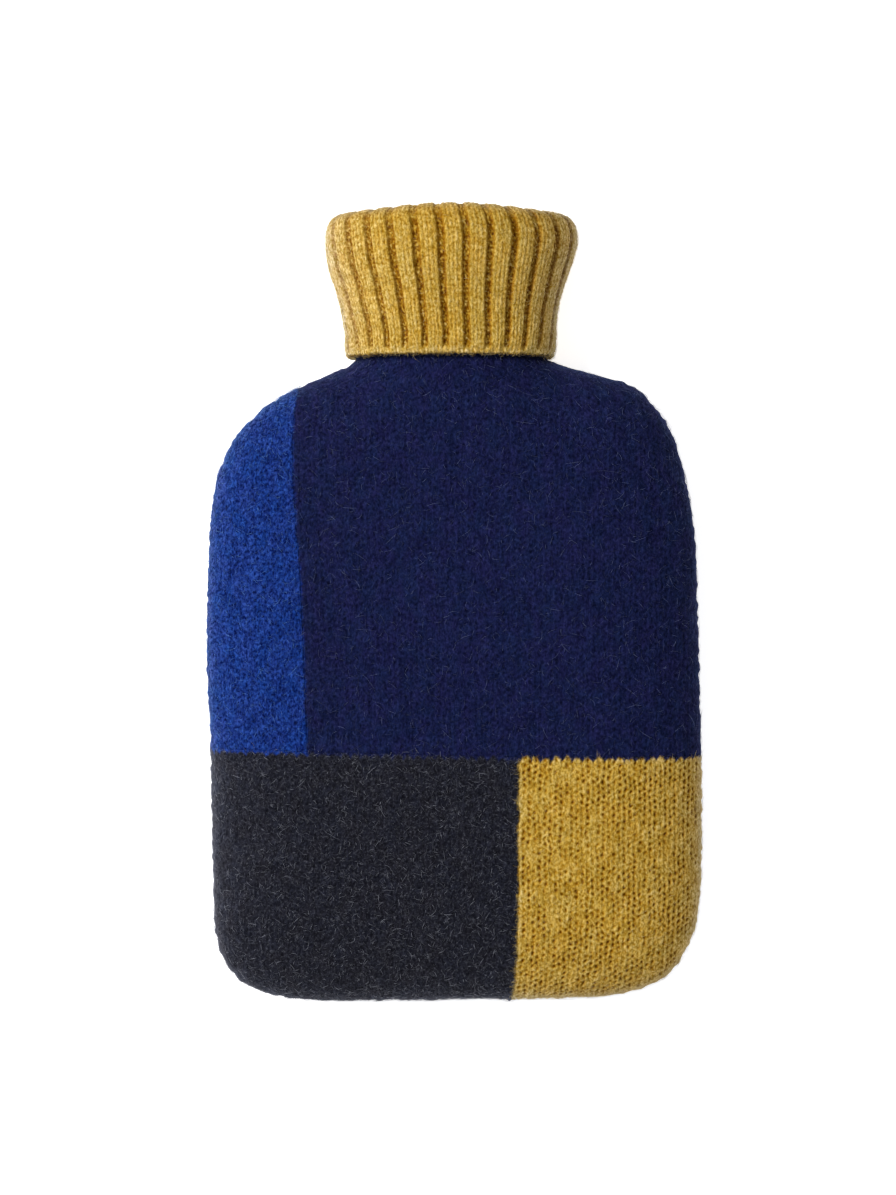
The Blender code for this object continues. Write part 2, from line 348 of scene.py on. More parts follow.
def survey(rows, side):
    """Across each row, the x of many points and how far across the cloth they are."""
    left, right = panel_edges(rows)
    turn = np.sin(math.pi / 2 * np.linspace(-1, 1, ACROSS_SAMPLES))
    x = ((left + right)[:, None] + (right - left)[:, None] * turn) / 2
    points = panel_skin(x, rows[:, None] + row_tilt(x, rows[:, None]), side)[0]
    steps = np.linalg.norm(np.diff(points, axis=1), axis=2)
    across = np.column_stack([np.zeros(len(rows)), np.cumsum(steps, axis=1)])
    middle = [np.interp(0.0, x[r], across[r]) for r in range(len(rows))]
    return x, across - np.array(middle)[:, None]


def middle_run(start, end, side):
    """Distances along between two rows, and how far over the cloth each is, in the middle."""
    alongs = start + (end - start) * np.linspace(0, 1, ALONG_SAMPLES) ** 3
    points = panel_skin(np.zeros_like(alongs), alongs, side)[0]
    steps = np.linalg.norm(np.diff(points, axis=0), axis=1)
    return alongs, np.concatenate([[0], np.cumsum(steps)])


def even_rows(start, end, side, count):
    """Distances along that are evenly spaced over the curve of the cloth."""
    alongs, run = middle_run(start, end, side)
    rows = np.interp(np.linspace(0, run[-1], count + 1), run, alongs)
    rows[-1] = end
    return rows


def up_the_cloth(along, side):
    """How far up the cloth is in the middle of the panel, over the curve of its bottom."""
    alongs, run = middle_run(0.0, NECK_JOIN, side)
    level = PANEL_STATIONS[0].roll
    rolled = np.interp(level, alongs, run) - level
    return np.interp(along, alongs, run) - rolled


front_run = middle_run(0.0, NECK_JOIN, 1)[1][-1]
print("up the front:", round(float(front_run), 4), "m of cloth")

# %% [markdown]
# ## Chance
#
# Hand knitting is never quite regular, so the coordinates of its stitches are made to wander
# a little, and felted fibre lies in uneven lumps. `wander` adds up a few waves that run in
# chance directions, and `lumps` joins a table of chance values smoothly. All chance comes
# from numbered generators, so that each run gives the same cloth.

# %% Chance in the knitting
WAVES = 6
WAVE_SIZES = (0.6, 1.6)  # the shortest and the longest wave, as shares of their size
LUMP_TABLE = 256


def smooth_step(value):
    value = np.clip(value, 0, 1)
    return value * value * (3 - 2 * value)


def bell(off, wide):
    """1 in the middle of a line, and next to nothing twice wide away from it."""
    return np.exp(-((off / wide) ** 2))


def wander(s, t, seed, size, amount):
    """A smooth uneven field, such as the drift of hand knitting."""
    chance = np.random.default_rng(seed)
    field = 0.0
    for _ in range(WAVES):
        turn, phase = chance.uniform(0, 2 * math.pi, 2)
        pitch = 2 * math.pi / (size * chance.uniform(*WAVE_SIZES))
        field = field + np.sin(pitch * (s * math.cos(turn) + t * math.sin(turn)) + phase)
    return amount * field / math.sqrt(WAVES)


def lumps(s, t, seed, size):
    """Uneven lumps about as large as size, from -1 to 1."""
    table = np.random.default_rng(seed).uniform(-1, 1, (LUMP_TABLE, LUMP_TABLE))
    column, row = np.floor(s / size).astype(int), np.floor(t / size).astype(int)
    right, up = smooth_step(s / size - column), smooth_step(t / size - row)

    def along_row(row):
        start = table[column % LUMP_TABLE, row % LUMP_TABLE]
        end = table[(column + 1) % LUMP_TABLE, row % LUMP_TABLE]
        return start * (1 - right) + end * right

    return along_row(row) * (1 - up) + along_row(row + 1) * up


def fibre_balls(s, t, seed):
    """The small balls that felted fibre draws itself into, of two sizes."""
    return lumps(s, t, seed, size=0.0011) + 0.6 * lumps(s, t, seed + 1, size=0.0006)


def hand_drift(s, t):
    """The coordinates s and t as an uneven hand has knitted them."""
    drifted_s = s + wander(s, t, 11, size=0.009, amount=0.00025)
    drifted_s = drifted_s + wander(s, t, 12, size=0.0035, amount=0.00012)
    drifted_t = t + wander(s, t, 13, size=0.009, amount=0.00035)
    drifted_t = drifted_t + wander(s, t, 14, size=0.0035, amount=0.00018)
    return drifted_s, drifted_t


print("chance fields of", WAVES, "waves each")

# %% [markdown]
# ## Stitches
#
# In plain knitting each stitch shows as a V, whose two legs lean apart and overlap the next
# course. A leg is a bent, stretched dome with its own lean, place, width, height and tone, and
# the cloth's surface is the highest dome over each point. The stitches could be curves swept
# into yarn, but felted wool has no separate strands left, and one surface with the domes
# pressed into it is closer to the real cloth and far lighter.

# %% Legs of the stitches
Gauge = namedtuple("Gauge", "wale course long wide lean")
COURSES_TO_WAIST = 38
BODY_GAUGE = Gauge(WALE, WAIST / COURSES_TO_WAIST, 0.0021, 0.00125, 0.42)
PATTERN = (64, 96)  # legs and courses before the chance repeats
Uneven = namedtuple("Uneven", "lean across along wide tall")
LEG_UNEVEN = Uneven(0.10, 0.06, 0.05, 0.08, 0.10)
LEG_BEND = 0.25
LEG_END = 2.4  # how blunt a leg's ends are: 2 is an ellipse
LEG_SLOPE = 0.10  # its upper end is this much lower, where it goes under the next course


def lay_legs(s, t, gauge, seed):
    """Height of the highest leg at each point, from 0 to about 1, and its tone."""
    half = gauge.wale / 2
    chance = np.random.default_rng(seed).uniform(-1, 1, (*PATTERN, 6))
    column = np.floor(s / half).astype(int)
    course = np.floor(t / gauge.course).astype(int)
    height, tone = np.zeros(s.shape), np.zeros(s.shape)
    for k in (column - 1, column, column + 1):
        for c in (course - 1, course, course + 1):
            own = chance[k % PATTERN[0], c % PATTERN[1]]
            side = np.where(k % 2 == 0, -1, 1)
            lean = side * gauge.lean + LEG_UNEVEN.lean * own[..., 0]
            ds = s - (k + 0.5 + LEG_UNEVEN.across * own[..., 1]) * half
            dt = t - (c + 0.5 + LEG_UNEVEN.along * own[..., 2]) * gauge.course
            up = (dt * np.cos(lean) + ds * np.sin(lean)) / gauge.long
            wide = gauge.wide * (1 + LEG_UNEVEN.wide * own[..., 3])
            off = (ds * np.cos(lean) - dt * np.sin(lean)) / wide + LEG_BEND * side * up**2
            far = np.abs(up) ** LEG_END + off**2
            dome = np.sqrt(np.maximum(0, 1 - far)) * (1 + LEG_UNEVEN.tall * own[..., 4])
            dome = dome - LEG_SLOPE * up
            wins = (far < 1) & (dome > height)
            height = np.where(wins, dome, height)
            tone = np.where(wins, own[..., 5], tone)
    return height, tone


print("body gauge:", [round(v * 1000, 2) for v in BODY_GAUGE[:4]], "mm")

# %% [markdown]
# ## Gaps
#
# Between the legs there are small gaps, which felting has closed unevenly: they tend to stay
# open in short runs up a wale. A gap is a soft pit, leaning like the legs beside it.

# %% Gaps between the legs
GAP_ACROSS = 0.00060
GAP_ALONG = 0.00084
GAP_LEAN = 0.25
GAP_LEAN_CHANCE = 0.3
GAP_SHIFT = 0.08  # of a stitch
GAP_RUN = (0.6, 0.3)  # how much a gap follows the two next to it on the same line
GAP_RUN_SUM = 1.9
GAP_SHUT = 0.21  # a gap whose chance is below this has felted shut
GAP_GAIN = 2.2
GAP_LEAST = 0.12


def open_gaps(s, t, gauge, seed):
    """How open the small gaps between the legs are at each point, from 0 to 1."""
    half = gauge.wale / 2
    chance = np.random.default_rng(seed)
    own = chance.uniform(0, 1, PATTERN)
    runs = own + GAP_RUN[0] * np.roll(own, 1, 1) + GAP_RUN[1] * np.roll(own, 2, 1)
    runs = np.clip((runs / GAP_RUN_SUM - GAP_SHUT) * GAP_GAIN, GAP_LEAST, 1)
    shift = chance.uniform(-1, 1, (*PATTERN, 3))
    line = np.round(s / half).astype(int)
    between_wales = line % 2 == 0
    phase = np.where(between_wales, 0.25, 0.75)
    course = np.round(t / gauge.course - phase).astype(int)
    place = (line % PATTERN[0], course % PATTERN[1])
    ds = s - (line + GAP_SHIFT * shift[place][..., 0]) * half
    dt = t - (course + phase + GAP_SHIFT * shift[place][..., 1]) * gauge.course
    lean = np.where(between_wales, -GAP_LEAN, GAP_LEAN) + GAP_LEAN_CHANCE * shift[place][..., 2]
    up = dt * np.cos(lean) + ds * np.sin(lean)
    off = ds * np.cos(lean) - dt * np.sin(lean)
    return runs[place] * np.exp(-((off / GAP_ACROSS) ** 2) - (up / GAP_ALONG) ** 2)


print("gaps:", round(GAP_ACROSS * 1000, 2), "by", round(GAP_ALONG * 1000, 2), "mm")

# %% [markdown]
# ## Yarns
#
# Four yarns are used, and a yarn is a list of named values. `colour` is the wool's own.
# `deep` and `light` are what its darkest and its brightest grains multiply that by, and `cool`
# and `warm` what larger patches do, because dyed fleece is a blend of many shades. `pale` is
# the colour of its stray fibres, and `haze` that of the fuzz, painted in as a sheen as much as
# `fuzz` says where the cloth turns away from a view from above. Light that goes into a gap of
# yellow wool comes out browner, so a painted shade is raised to a higher power in blue than in
# red: that is `warmth`.
#
# `relief`, `lumpy` and `gap_depth` are the heights of a stitch, of a ball of felted fibre and
# of a gap, in metres. `uneven`, `mottle`, `gap_dark` and `crease` say how much the tone of a
# stitch, a ball, a gap and the line between two stitches change the colour: the first two are
# the wool's own uneven tone, the last two are painted shade in the gaps and creases.

# %% Yarns
Yarn = namedtuple(
    "Yarn",
    "slot colour deep light cool warm pale haze warmth fuzz "
    "relief lumpy gap_depth uneven mottle gap_dark crease")
ROYAL = Yarn(
    slot="royal_blue_wool", colour=(0.0050, 0.0228, 0.160),
    deep=(0.00, 0.18, 0.38), light=(2.8, 2.10, 1.68),
    cool=(0.75, 0.98, 0.99), warm=(1.25, 1.02, 1.01),
    pale=(0.16, 0.38, 0.80), haze=(0.26, 0.48, 0.82), warmth=(1.2, 1.1, 0.8), fuzz=0.04,
    relief=0.00034, lumpy=0.00026, gap_depth=0.00030,
    uneven=0.20, mottle=0.32, gap_dark=0.42, crease=0.25)
NAVY = Yarn(
    slot="navy_wool", colour=(0.0068, 0.0100, 0.0480),
    deep=(0.44, 0.50, 0.58), light=(1.75, 1.62, 1.5),
    cool=(0.86, 1.04, 0.98), warm=(1.16, 0.94, 1.03),
    pale=(0.17, 0.21, 0.40), haze=(0.21, 0.28, 0.60), warmth=(1.1, 1.1, 0.9), fuzz=0.035,
    relief=0.00026, lumpy=0.00018, gap_depth=0.00022,
    uneven=0.11, mottle=0.28, gap_dark=0.50, crease=0.14)
CHARCOAL = Yarn(
    slot="charcoal_wool", colour=(0.0098, 0.0102, 0.0164),
    deep=(0.45, 0.45, 0.50), light=(1.8, 1.8, 1.7),
    cool=(0.96, 1.0, 1.05), warm=(1.05, 1.0, 0.95),
    pale=(0.42, 0.44, 0.52), haze=(0.42, 0.44, 0.57), warmth=(1.0, 1.0, 1.0), fuzz=0.05,
    relief=0.00026, lumpy=0.00018, gap_depth=0.00020,
    uneven=0.11, mottle=0.20, gap_dark=0.32, crease=0.08)
MUSTARD = Yarn(
    slot="mustard_wool", colour=(0.515, 0.333, 0.0570),
    deep=(0.60, 0.51, 0.15), light=(1.31, 1.36, 1.85),
    cool=(0.97, 1.0, 1.05), warm=(1.03, 1.0, 0.92),
    pale=(0.82, 0.68, 0.34), haze=(0.68, 0.66, 0.48), warmth=(0.80, 1.25, 3.6), fuzz=0.21,
    relief=0.00036, lumpy=0.00008, gap_depth=0.00060,
    uneven=0.08, mottle=0.12, gap_dark=0.93, crease=0.12)
YARNS = (ROYAL, NAVY, CHARCOAL, MUSTARD)
print("yarns:", [yarn.slot for yarn in YARNS])

# %% [markdown]
# ## The colour of each point
#
# Where two blocks meet, the next colour reaches in between two stitches, so the line across
# the waist runs in humps, one for each wale, and along the upright borders single fibres
# stray over. Each point keeps how much of each yarn shows there, and its colour is mixed from
# them. Straight borders between four plain materials would be simpler, but they look printed.
#
# Where the cloth turns down to its seam, the eye looks through more of its fuzz. That paler
# haze is painted into the colour as a sheen for a view from above: a soft one where the cloth
# turns away, and a stronger one in a narrow rim right at the seam.

# %% Shares and colours of the yarns
YARN_COLOURS = np.array([yarn.colour for yarn in YARNS])
YARN_WARMTHS = np.array([yarn.warmth for yarn in YARNS])
YARN_HAZES = np.array([yarn.haze for yarn in YARNS])
YARN_FUZZ_SHEEN = np.array([yarn.fuzz for yarn in YARNS])
BORDER_MIX = 0.0012  # the colours mingle over this width where two yarns are twisted together
NOTCH = 0.0021  # how deep the next colour reaches between two stitches
NOTCH_BELOW = 0.65  # the share of it that lies below the waist
NOTCH_UNEVEN = 0.35
HUMP_UNEVEN = 0.08  # of a stitch
HUMP_ROUNDNESS = 0.6
COARSE_STRAY = 0.0004  # how far tufts of fibre stray over a border
FINE_STRAY = 0.0003  # and single fibres
WAIST_STRAY = 0.7  # the share of that across the waist
SHADE_LIMITS = (0.02, 2.0)
# painted sheen of the fuzz: soft where the cloth turns away, strong in the rim at the seam
SOFT_FUZZ_SHEEN = 0.8
SOFT_POWER = 0.8  # under 1, so that the haze starts early as the cloth turns
RIM_FUZZ_SHEEN = 2.2


def waist_line(s, t):
    """How far each point is above the line of stitches across the waist."""
    across = s / BODY_GAUGE.wale + HUMP_UNEVEN * lumps(s, t, 73, size=0.004)
    hump = np.abs(np.sin(math.pi * across)) ** HUMP_ROUNDNESS
    tall = NOTCH * (1 + NOTCH_UNEVEN * lumps(s, t, 74, size=0.005))
    return t - WAIST + NOTCH * NOTCH_BELOW - tall * (hump - 0.50)


def yarn_shares(s, t):
    """How much of each of the four yarns shows at each point of the front."""
    stray = COARSE_STRAY * lumps(s, t, 71, size=0.0011)
    stray = stray + FINE_STRAY * lumps(s, t, 72, size=0.0005)
    upper = smooth_step((waist_line(s, t) + WAIST_STRAY * stray) / BORDER_MIX + 0.5)
    navy = smooth_step((s + stray + WALES_BETWEEN * BODY_GAUGE.wale) / BORDER_MIX + 0.5)
    mustard = smooth_step((s + stray) / BORDER_MIX + 0.5)
    shares = (upper * (1 - navy), upper * navy, (1 - upper) * (1 - mustard), (1 - upper) * mustard)
    return np.stack(shares, axis=-1)


def all_of(yarn, shape):
    shares = np.zeros((*shape, len(YARNS)))
    shares[..., YARNS.index(yarn)] = 1
    return shares


def dyed(shares, shade, upright, rim):
    """The colours of points whose yarn is darkened by shade, 1 being the yarn's own.

    upright is 1 where the cloth lies flat, and rim is 1 at its very edge."""
    # shade is painted shade and light; soft and rim mix in the fuzz's painted sheen
    shade = np.clip(shade, *SHADE_LIMITS)[..., None, None]
    turned = np.clip(1 - upright, 0, 1)[..., None]
    soft = (SOFT_FUZZ_SHEEN * turned**SOFT_POWER * YARN_FUZZ_SHEEN)[..., None]
    rim = (RIM_FUZZ_SHEEN * rim[..., None] * YARN_FUZZ_SHEEN)[..., None]
    colours = YARN_COLOURS * shade**YARN_WARMTHS * (1 - soft - rim)
    colours = colours + YARN_HAZES * (soft * shade**2 + rim * shade)
    colour = np.sum(shares[..., None] * colours, axis=-2)
    return np.concatenate([colour, np.ones_like(colour[..., :1])], axis=-1)


print("the colours mingle over", BORDER_MIX * 1000, "mm")

# %% [markdown]
# ## Making a mesh
#
# The meshes are large, so they are filled from arrays at once instead of face by face. Each
# point of the cloth keeps the colour of its yarn in a colour attribute, which its material
# reads, and its place in the knitting in a UV map, so that a charted pattern can be laid on
# the stitches later.

# %% Mesh from arrays
def add_cloth(name, points, quads, triangles, material, colours, knit_place, flat_triangles=True):
    mesh = bpy.data.meshes.new(name)
    corners = np.concatenate([quads.ravel(), triangles.ravel()]).astype(np.int32)
    quad_starts = np.arange(len(quads)) * 4
    triangle_starts = len(quads) * 4 + np.arange(len(triangles)) * 3
    starts = np.concatenate([quad_starts, triangle_starts]).astype(np.int32)
    mesh.vertices.add(len(points))
    mesh.vertices.foreach_set("co", points.astype(np.float32).ravel())
    mesh.loops.add(len(corners))
    mesh.loops.foreach_set("vertex_index", corners)
    mesh.polygons.add(len(starts))
    mesh.polygons.foreach_set("loop_start", starts)
    mesh.update(calc_edges=True)
    layer = mesh.color_attributes.new("yarn", "FLOAT_COLOR", "POINT")
    layer.data.foreach_set("color", colours.astype(np.float32).ravel())
    places = mesh.uv_layers.new(name="knit")
    places.data.foreach_set("uv", knit_place[corners].astype(np.float32).ravel())
    sharp = np.zeros(len(starts), bool)
    sharp[len(quads) :] = flat_triangles
    mesh.polygons.foreach_set("use_smooth", ~sharp)
    mesh.materials.append(material)
    piece = bpy.data.objects.new(name, mesh)
    bpy.context.scene.collection.objects.link(piece)
    count = 2 * len(quads) + len(triangles)
    print(f"{name}: {count} triangles")
    return piece

# %% [markdown]
# ## Cloth with two faces
#
# The outer face carries the stitches, so it is a fine grid. The inner face is hardly ever
# seen, so it has one point for every eighth of the outer face's. Fans of triangles join the
# two along the edges, which closes the cloth without making the inner face fine as well.

# %% Closed cloth from a fine and a coarse grid
COARSE = 8


def grid_quads(rows, columns, first=0):
    """Quads of a grid of points that is stored row by row."""
    r, c = np.meshgrid(np.arange(rows - 1), np.arange(columns - 1), indexing="ij")
    a = first + (r * columns + c).ravel()
    return np.column_stack([a, a + 1, a + 1 + columns, a + columns])


def edge_fans(fine_edge, coarse_edge):
    """Triangles between an edge of the fine grid and the same edge of the coarse one."""
    faces = []
    half = COARSE // 2
    for j in range(len(coarse_edge) - 1):
        a, b = coarse_edge[j], coarse_edge[j + 1]
        part = fine_edge[j * COARSE : (j + 1) * COARSE + 1]
        for m in range(COARSE):
            faces.append((part[m + 1], part[m], a if m < half else b))
        faces.append((part[half], a, b))
    return faces


def close_cloth(outer, inner, facing):
    """Points and faces of closed cloth. facing is 1 where the grid's quads face outwards."""
    rows, columns = outer.shape[:2]
    low_rows, low_columns = inner.shape[:2]
    first = rows * columns
    quads = grid_quads(rows, columns)
    back = grid_quads(low_rows, low_columns, first)[:, ::-1]
    fine = np.arange(first).reshape(rows, columns)
    coarse = first + np.arange(low_rows * low_columns).reshape(low_rows, low_columns)
    fans = edge_fans(fine[0], coarse[0])
    fans += edge_fans(fine[:, -1], coarse[:, -1])
    fans += edge_fans(fine[-1, ::-1], coarse[-1, ::-1])
    fans += edge_fans(fine[::-1, 0], coarse[::-1, 0])
    quads = np.vstack([quads, back])
    fans = np.array(fans)
    if facing < 0:
        quads, fans = quads[:, ::-1], fans[:, ::-1]
    points = np.vstack([outer.reshape(-1, 3), inner.reshape(-1, 3)])
    return points, quads, fans


print("one inner point for every", COARSE * COARSE, "outer ones")

# %% [markdown]
# ## Shader expressions
#
# Materials are written as Python expressions. `Shade` wraps a socket: an operator on it adds
# a Math node, and `node` adds any other node. Colours are blended by Mix nodes, because a
# Math node would turn them grey.

# %% Shade
class Shade:
    def __init__(self, tree, socket=None):
        self.tree = tree
        self.socket = socket

    def node(self, kind, settings=None, sockets=None, out=0):
        """Adds a node, makes its settings, then sets or links its sockets."""
        added = self.tree.nodes.new(kind)
        for key, value in (settings or {}).items():
            setattr(added, key, value)
        for key, value in (sockets or {}).items():
            if isinstance(value, Shade):
                self.tree.links.new(value.socket, added.inputs[key])
            else:
                added.inputs[key].default_value = value
        return Shade(self.tree, added.outputs[out])

    def math(self, operation, a, b=0.0):
        return self.node("ShaderNodeMath", {"operation": operation}, {0: a, 1: b})

    def __add__(self, other):
        return self.math("ADD", self, other)

    def __radd__(self, other):
        return self.math("ADD", other, self)

    def __sub__(self, other):
        return self.math("SUBTRACT", self, other)

    def __rsub__(self, other):
        return self.math("SUBTRACT", other, self)

    def __mul__(self, other):
        return self.math("MULTIPLY", self, other)

    def __rmul__(self, other):
        return self.math("MULTIPLY", other, self)

    def __abs__(self):
        return self.math("ABSOLUTE", self)

    def ranged(self, low, high, start=0.0, end=1.0):
        """This value as a share of the way from low to high, read from start to end."""
        return self.node("ShaderNodeMapRange", None, {0: self, 1: low, 2: high, 3: start, 4: end})

    def blended(self, kind, share, a, b):
        """The colours a and b, blended by a share that may itself be a Shade."""
        settings = {"data_type": "RGBA", "blend_type": kind}
        return self.node("ShaderNodeMix", settings, {0: share, 6: a, 7: b}, out=2)


print("shader expressions ready")

# %% [markdown]
# ## Wool
#
# Felted wool is matt, and it glows a little where it turns away, because fibres stand out of
# it: that is the sheen. Its colour is never flat. Three things change the yarn's own colour:
# a heather of patches some millimetres wide, where fibres of another dye lie together, a fine
# grain, which is a little longer along the wales because the wool is combed that way, and
# paler fibres that lie in all directions. The grain and the fibres also push the surface up
# and down through a Bump node. An image of wool would do it too, but noise fits any place on
# the cloth without a seam.

# %% Wool material
GRAIN_SIZE = 0.0008
GRAIN_RANGE = (0.36, 0.64)  # the noise values that give the darkest and the brightest grain
COMBED = 0.6  # the grain is longer along the wales
HEATHER_SIZE = 0.0060
HEATHER_RANGE = (0.35, 0.65)
Fibres = namedtuple("Fibres", "offset spread thin")
LONG_FIBRES = Fibres(0.0, 0.0020, 0.030)
SHORT_FIBRES = Fibres(0.7, 0.0015, 0.035)
FIBRES_BROKEN = 1.7  # they come and go this many times over their spread
FIBRES_SHOWN = (0.47, 0.60)
FIBRE_HEIGHT = 0.04  # as a share of the grain's


def noise(place, scale, **sockets):
    return place.node(
        "ShaderNodeTexNoise", {"noise_dimensions": "3D"},
        {"Vector": place, "Scale": scale, **sockets})


def fibre_lines(place, fibres):
    """Thin curved lines: the places where a smooth noise passes its middle value."""
    offset = (fibres.offset, 2 * fibres.offset, 0.0)
    moved = place.node("ShaderNodeMapping", None, {"Vector": place, "Location": offset})
    waves = noise(moved, 1 / fibres.spread, Detail=1.0, Distortion=0.8)
    broken = noise(moved, FIBRES_BROKEN / fibres.spread, Detail=0.0)
    line = abs(waves - 0.5).ranged(0.0, fibres.thin, 1.0, 0.0)
    return line * broken.ranged(*FIBRES_SHOWN)


def wool(name, yarn, fibres, sheen, sheen_tint, bump):
    material = bpy.data.materials.new(name)
    material.use_nodes = True
    tree = material.node_tree
    shader = tree.nodes["Principled BSDF"]
    start = Shade(tree)
    place = start.node("ShaderNodeTexCoord", out=3)
    colour = start.node("ShaderNodeAttribute", {"attribute_name": "yarn"})

    combed = start.node("ShaderNodeMapping", None, {"Vector": place, "Scale": (1.0, COMBED, 1.0)})
    grain = noise(combed, 1 / GRAIN_SIZE, Detail=2.0, Roughness=0.7)
    heather = noise(combed, 1 / HEATHER_SIZE, Detail=1.5, Roughness=0.6).ranged(*HEATHER_RANGE)
    patches = start.blended("MIX", heather, (*yarn.cool, 1), (*yarn.warm, 1))
    colour = start.blended("MULTIPLY", 1.0, colour, patches)
    grains = start.blended("MIX", grain.ranged(*GRAIN_RANGE), (*yarn.deep, 1), (*yarn.light, 1))
    colour = start.blended("MULTIPLY", 1.0, colour, grains)
    long, short = fibre_lines(place, LONG_FIBRES), fibre_lines(place, SHORT_FIBRES)
    lines = start.math("MAXIMUM", long, short)
    colour = start.blended("MIX", lines * fibres, colour, (*yarn.pale, 1))

    height = grain + lines * FIBRE_HEIGHT
    raised = start.node(
        "ShaderNodeBump", None, {"Strength": 1.0, "Distance": bump, "Height": height})
    tree.links.new(colour.socket, shader.inputs["Base Color"])
    tree.links.new(raised.socket, shader.inputs["Normal"])
    shader.inputs["Roughness"].default_value = 0.95
    shader.inputs["Specular IOR Level"].default_value = 0.04
    shader.inputs["Sheen Weight"].default_value = sheen
    shader.inputs["Sheen Roughness"].default_value = 0.32
    shader.inputs["Sheen Tint"].default_value = (*sheen_tint, 1)
    print("material:", name)
    return material


ROYAL_WOOL = wool(
    "royal blue wool", ROYAL, fibres=0.08, sheen=0.30, sheen_tint=(0.08, 0.22, 0.60), bump=0.0006)
NAVY_WOOL = wool(
    "navy wool", NAVY, fibres=0.06, sheen=0.35, sheen_tint=(0.10, 0.14, 0.34), bump=0.0006)
CHARCOAL_WOOL = wool(
    "charcoal wool", CHARCOAL, fibres=0.12, sheen=0.45, sheen_tint=(0.28, 0.29, 0.36), bump=0.0006)
MUSTARD_WOOL = wool(
    "mustard wool", MUSTARD, fibres=0.10, sheen=0.14, sheen_tint=(0.80, 0.64, 0.28), bump=0.00035)

# %% [markdown]
# ## Laying out a panel
#
# Each block of the front, and the whole back, is a grid: its rows are rows of knitting, and
# its columns are spread evenly over the cloth between two edges. Every point of it gets its
# knitter's coordinates, s across and t up. Near the bottom seam t is measured over the curve
# of the cloth, and near a side seam straight up, because the cloth curves across there.

# %% Lay out a panel
def spread_columns(x, across, ends, columns):
    """The x of a grid's points, spread evenly over the cloth between the ends of each row."""
    left, right = ends
    shares = np.linspace(0, 1, columns + 1)
    grid_x = np.empty((len(x), columns + 1))
    for r in range(len(x)):
        start, end = np.interp([left[r], right[r]], x[r], across[r])
        grid_x[r] = np.interp(start + (end - start) * shares, across[r], x[r])
    return grid_x


def across_the_cloth(rows, x, across, grid_x):
    """How far across each grid point is, so that the wales fit between the front's borders."""
    scaled = np.empty_like(grid_x)
    span = WALES_BETWEEN * BODY_GAUGE.wale
    royal_edge = smooth_column(ROYAL_BORDER, "x", rows)
    mustard_edge = smooth_column(MUSTARD_BORDER, "x", rows)
    for r in range(len(rows)):
        at = np.interp(grid_x[r], x[r], across[r])
        left = np.interp(royal_edge[r], x[r], across[r])
        right = np.interp(mustard_edge[r], x[r], across[r])
        inside = (at - right) / (right - left) * span
        scaled[r] = np.where(at < left, at - left - span, np.where(at > right, at - right, inside))
    return scaled


def knitters_places(rows, x, across, grid_x, outward, side):
    s = across_the_cloth(rows, x, across, grid_x)
    up = up_the_cloth(rows, side)[:, None]
    t = rows[:, None] + (up - rows[:, None]) * outward[..., 1] ** 2
    return hand_drift(s, t)


print("a panel is laid out from", ACROSS_SAMPLES, "points of each row")

# %% [markdown]
# ## Relief and shade of a panel
#
# The height of a point above the smooth skin adds up from its stitch, the gap beside it, the
# balls of felted fibre, and slow waves where the cloth was pulled about. Close to the seam
# this fades, because there the edge stitches are drawn in, and a bumpy edge takes its place,
# with the knot where the two lower yarns meet.
#
# The shade is painted into the colour and follows the same things, so that a gap is both deep
# and darkened with painted shade, and so is the crease between two legs. A few lines are drawn
# over it: a painted shade along the seam's stitches, the brighter loops along the waist and
# beside the mustard's border, and a painted shadow on the navy just below the collar's hem.
# Each line is a place on the cloth, a width and a change.

# %% Relief and shade
SINK = 0.00035  # how far the middle of the relief is below the skin
SEAM_DRAW = 0.0025  # the relief fades this close to the seam
SEAM_PROUD = 0.6  # and the edge stands out by this share of SINK
SEAM_RELIEF = 0.3  # the share of the relief that is left there
KNOT = 0.0236  # the x of the knot at the bottom edge
KNOT_WIDE = 0.0009
KNOT_HIGH = 0.0012
KNOT_REACH = 0.01
EDGE_LUMPS = 0.0004
Line = namedtuple("Line", "place wide change")
# SEAM_LINE is painted shade of the groove that the seam's stitches pull in
SEAM_LINE = Line(0.0009, 0.0004, -0.15)  # from the seam
WAIST_LOOPS = Line(-0.0005, 0.0006, 0.22)  # from the waist
BORDER_LOOPS = Line(0.0008, 0.0006, 0.20)  # from the mustard's border
# a painted shadow that the collar's hem casts on the navy
HEM_SHADOW_PAINTED = Line(0.2743, 0.0012, -0.75)  # from the bottom edge
HEM_SHADOW_PAINTED_HALF = 0.05
Knit = namedtuple("Knit", "s t dome tone gap balls distance free")


def knit_stitches(s, t, distance, seed):
    dome, tone = lay_legs(s, t, BODY_GAUGE, seed)
    free = np.clip(distance / SEAM_DRAW, 0, 1)
    gap = open_gaps(s, t, BODY_GAUGE, seed + 5) * free**2
    return Knit(s, t, dome, tone, gap, fibre_balls(s, t, seed + 11), distance, free)


def panel_height(knit, grid_x, along, yarn, seed):
    relief = yarn.relief * knit.dome - yarn.gap_depth * knit.gap
    slow = wander(knit.s, knit.t, seed + 9, size=0.030, amount=0.00020)
    slow = slow + wander(knit.s, knit.t, seed + 10, size=0.006, amount=0.00008)
    left = SEAM_RELIEF + (1 - SEAM_RELIEF) * knit.free
    height = (relief + slow + yarn.lumpy * knit.balls) * left
    height = height - SINK * ((1 + SEAM_PROUD) * knit.free - SEAM_PROUD)
    edge = wander(grid_x, along, 90, size=0.008, amount=0.00014)
    edge = edge + EDGE_LUMPS * lumps(grid_x, along, 91, size=0.0020)
    knot = KNOT_HIGH * bell(grid_x - KNOT, KNOT_WIDE) * (along < KNOT_REACH)
    return height + (edge + knot) * (1 - knit.free)


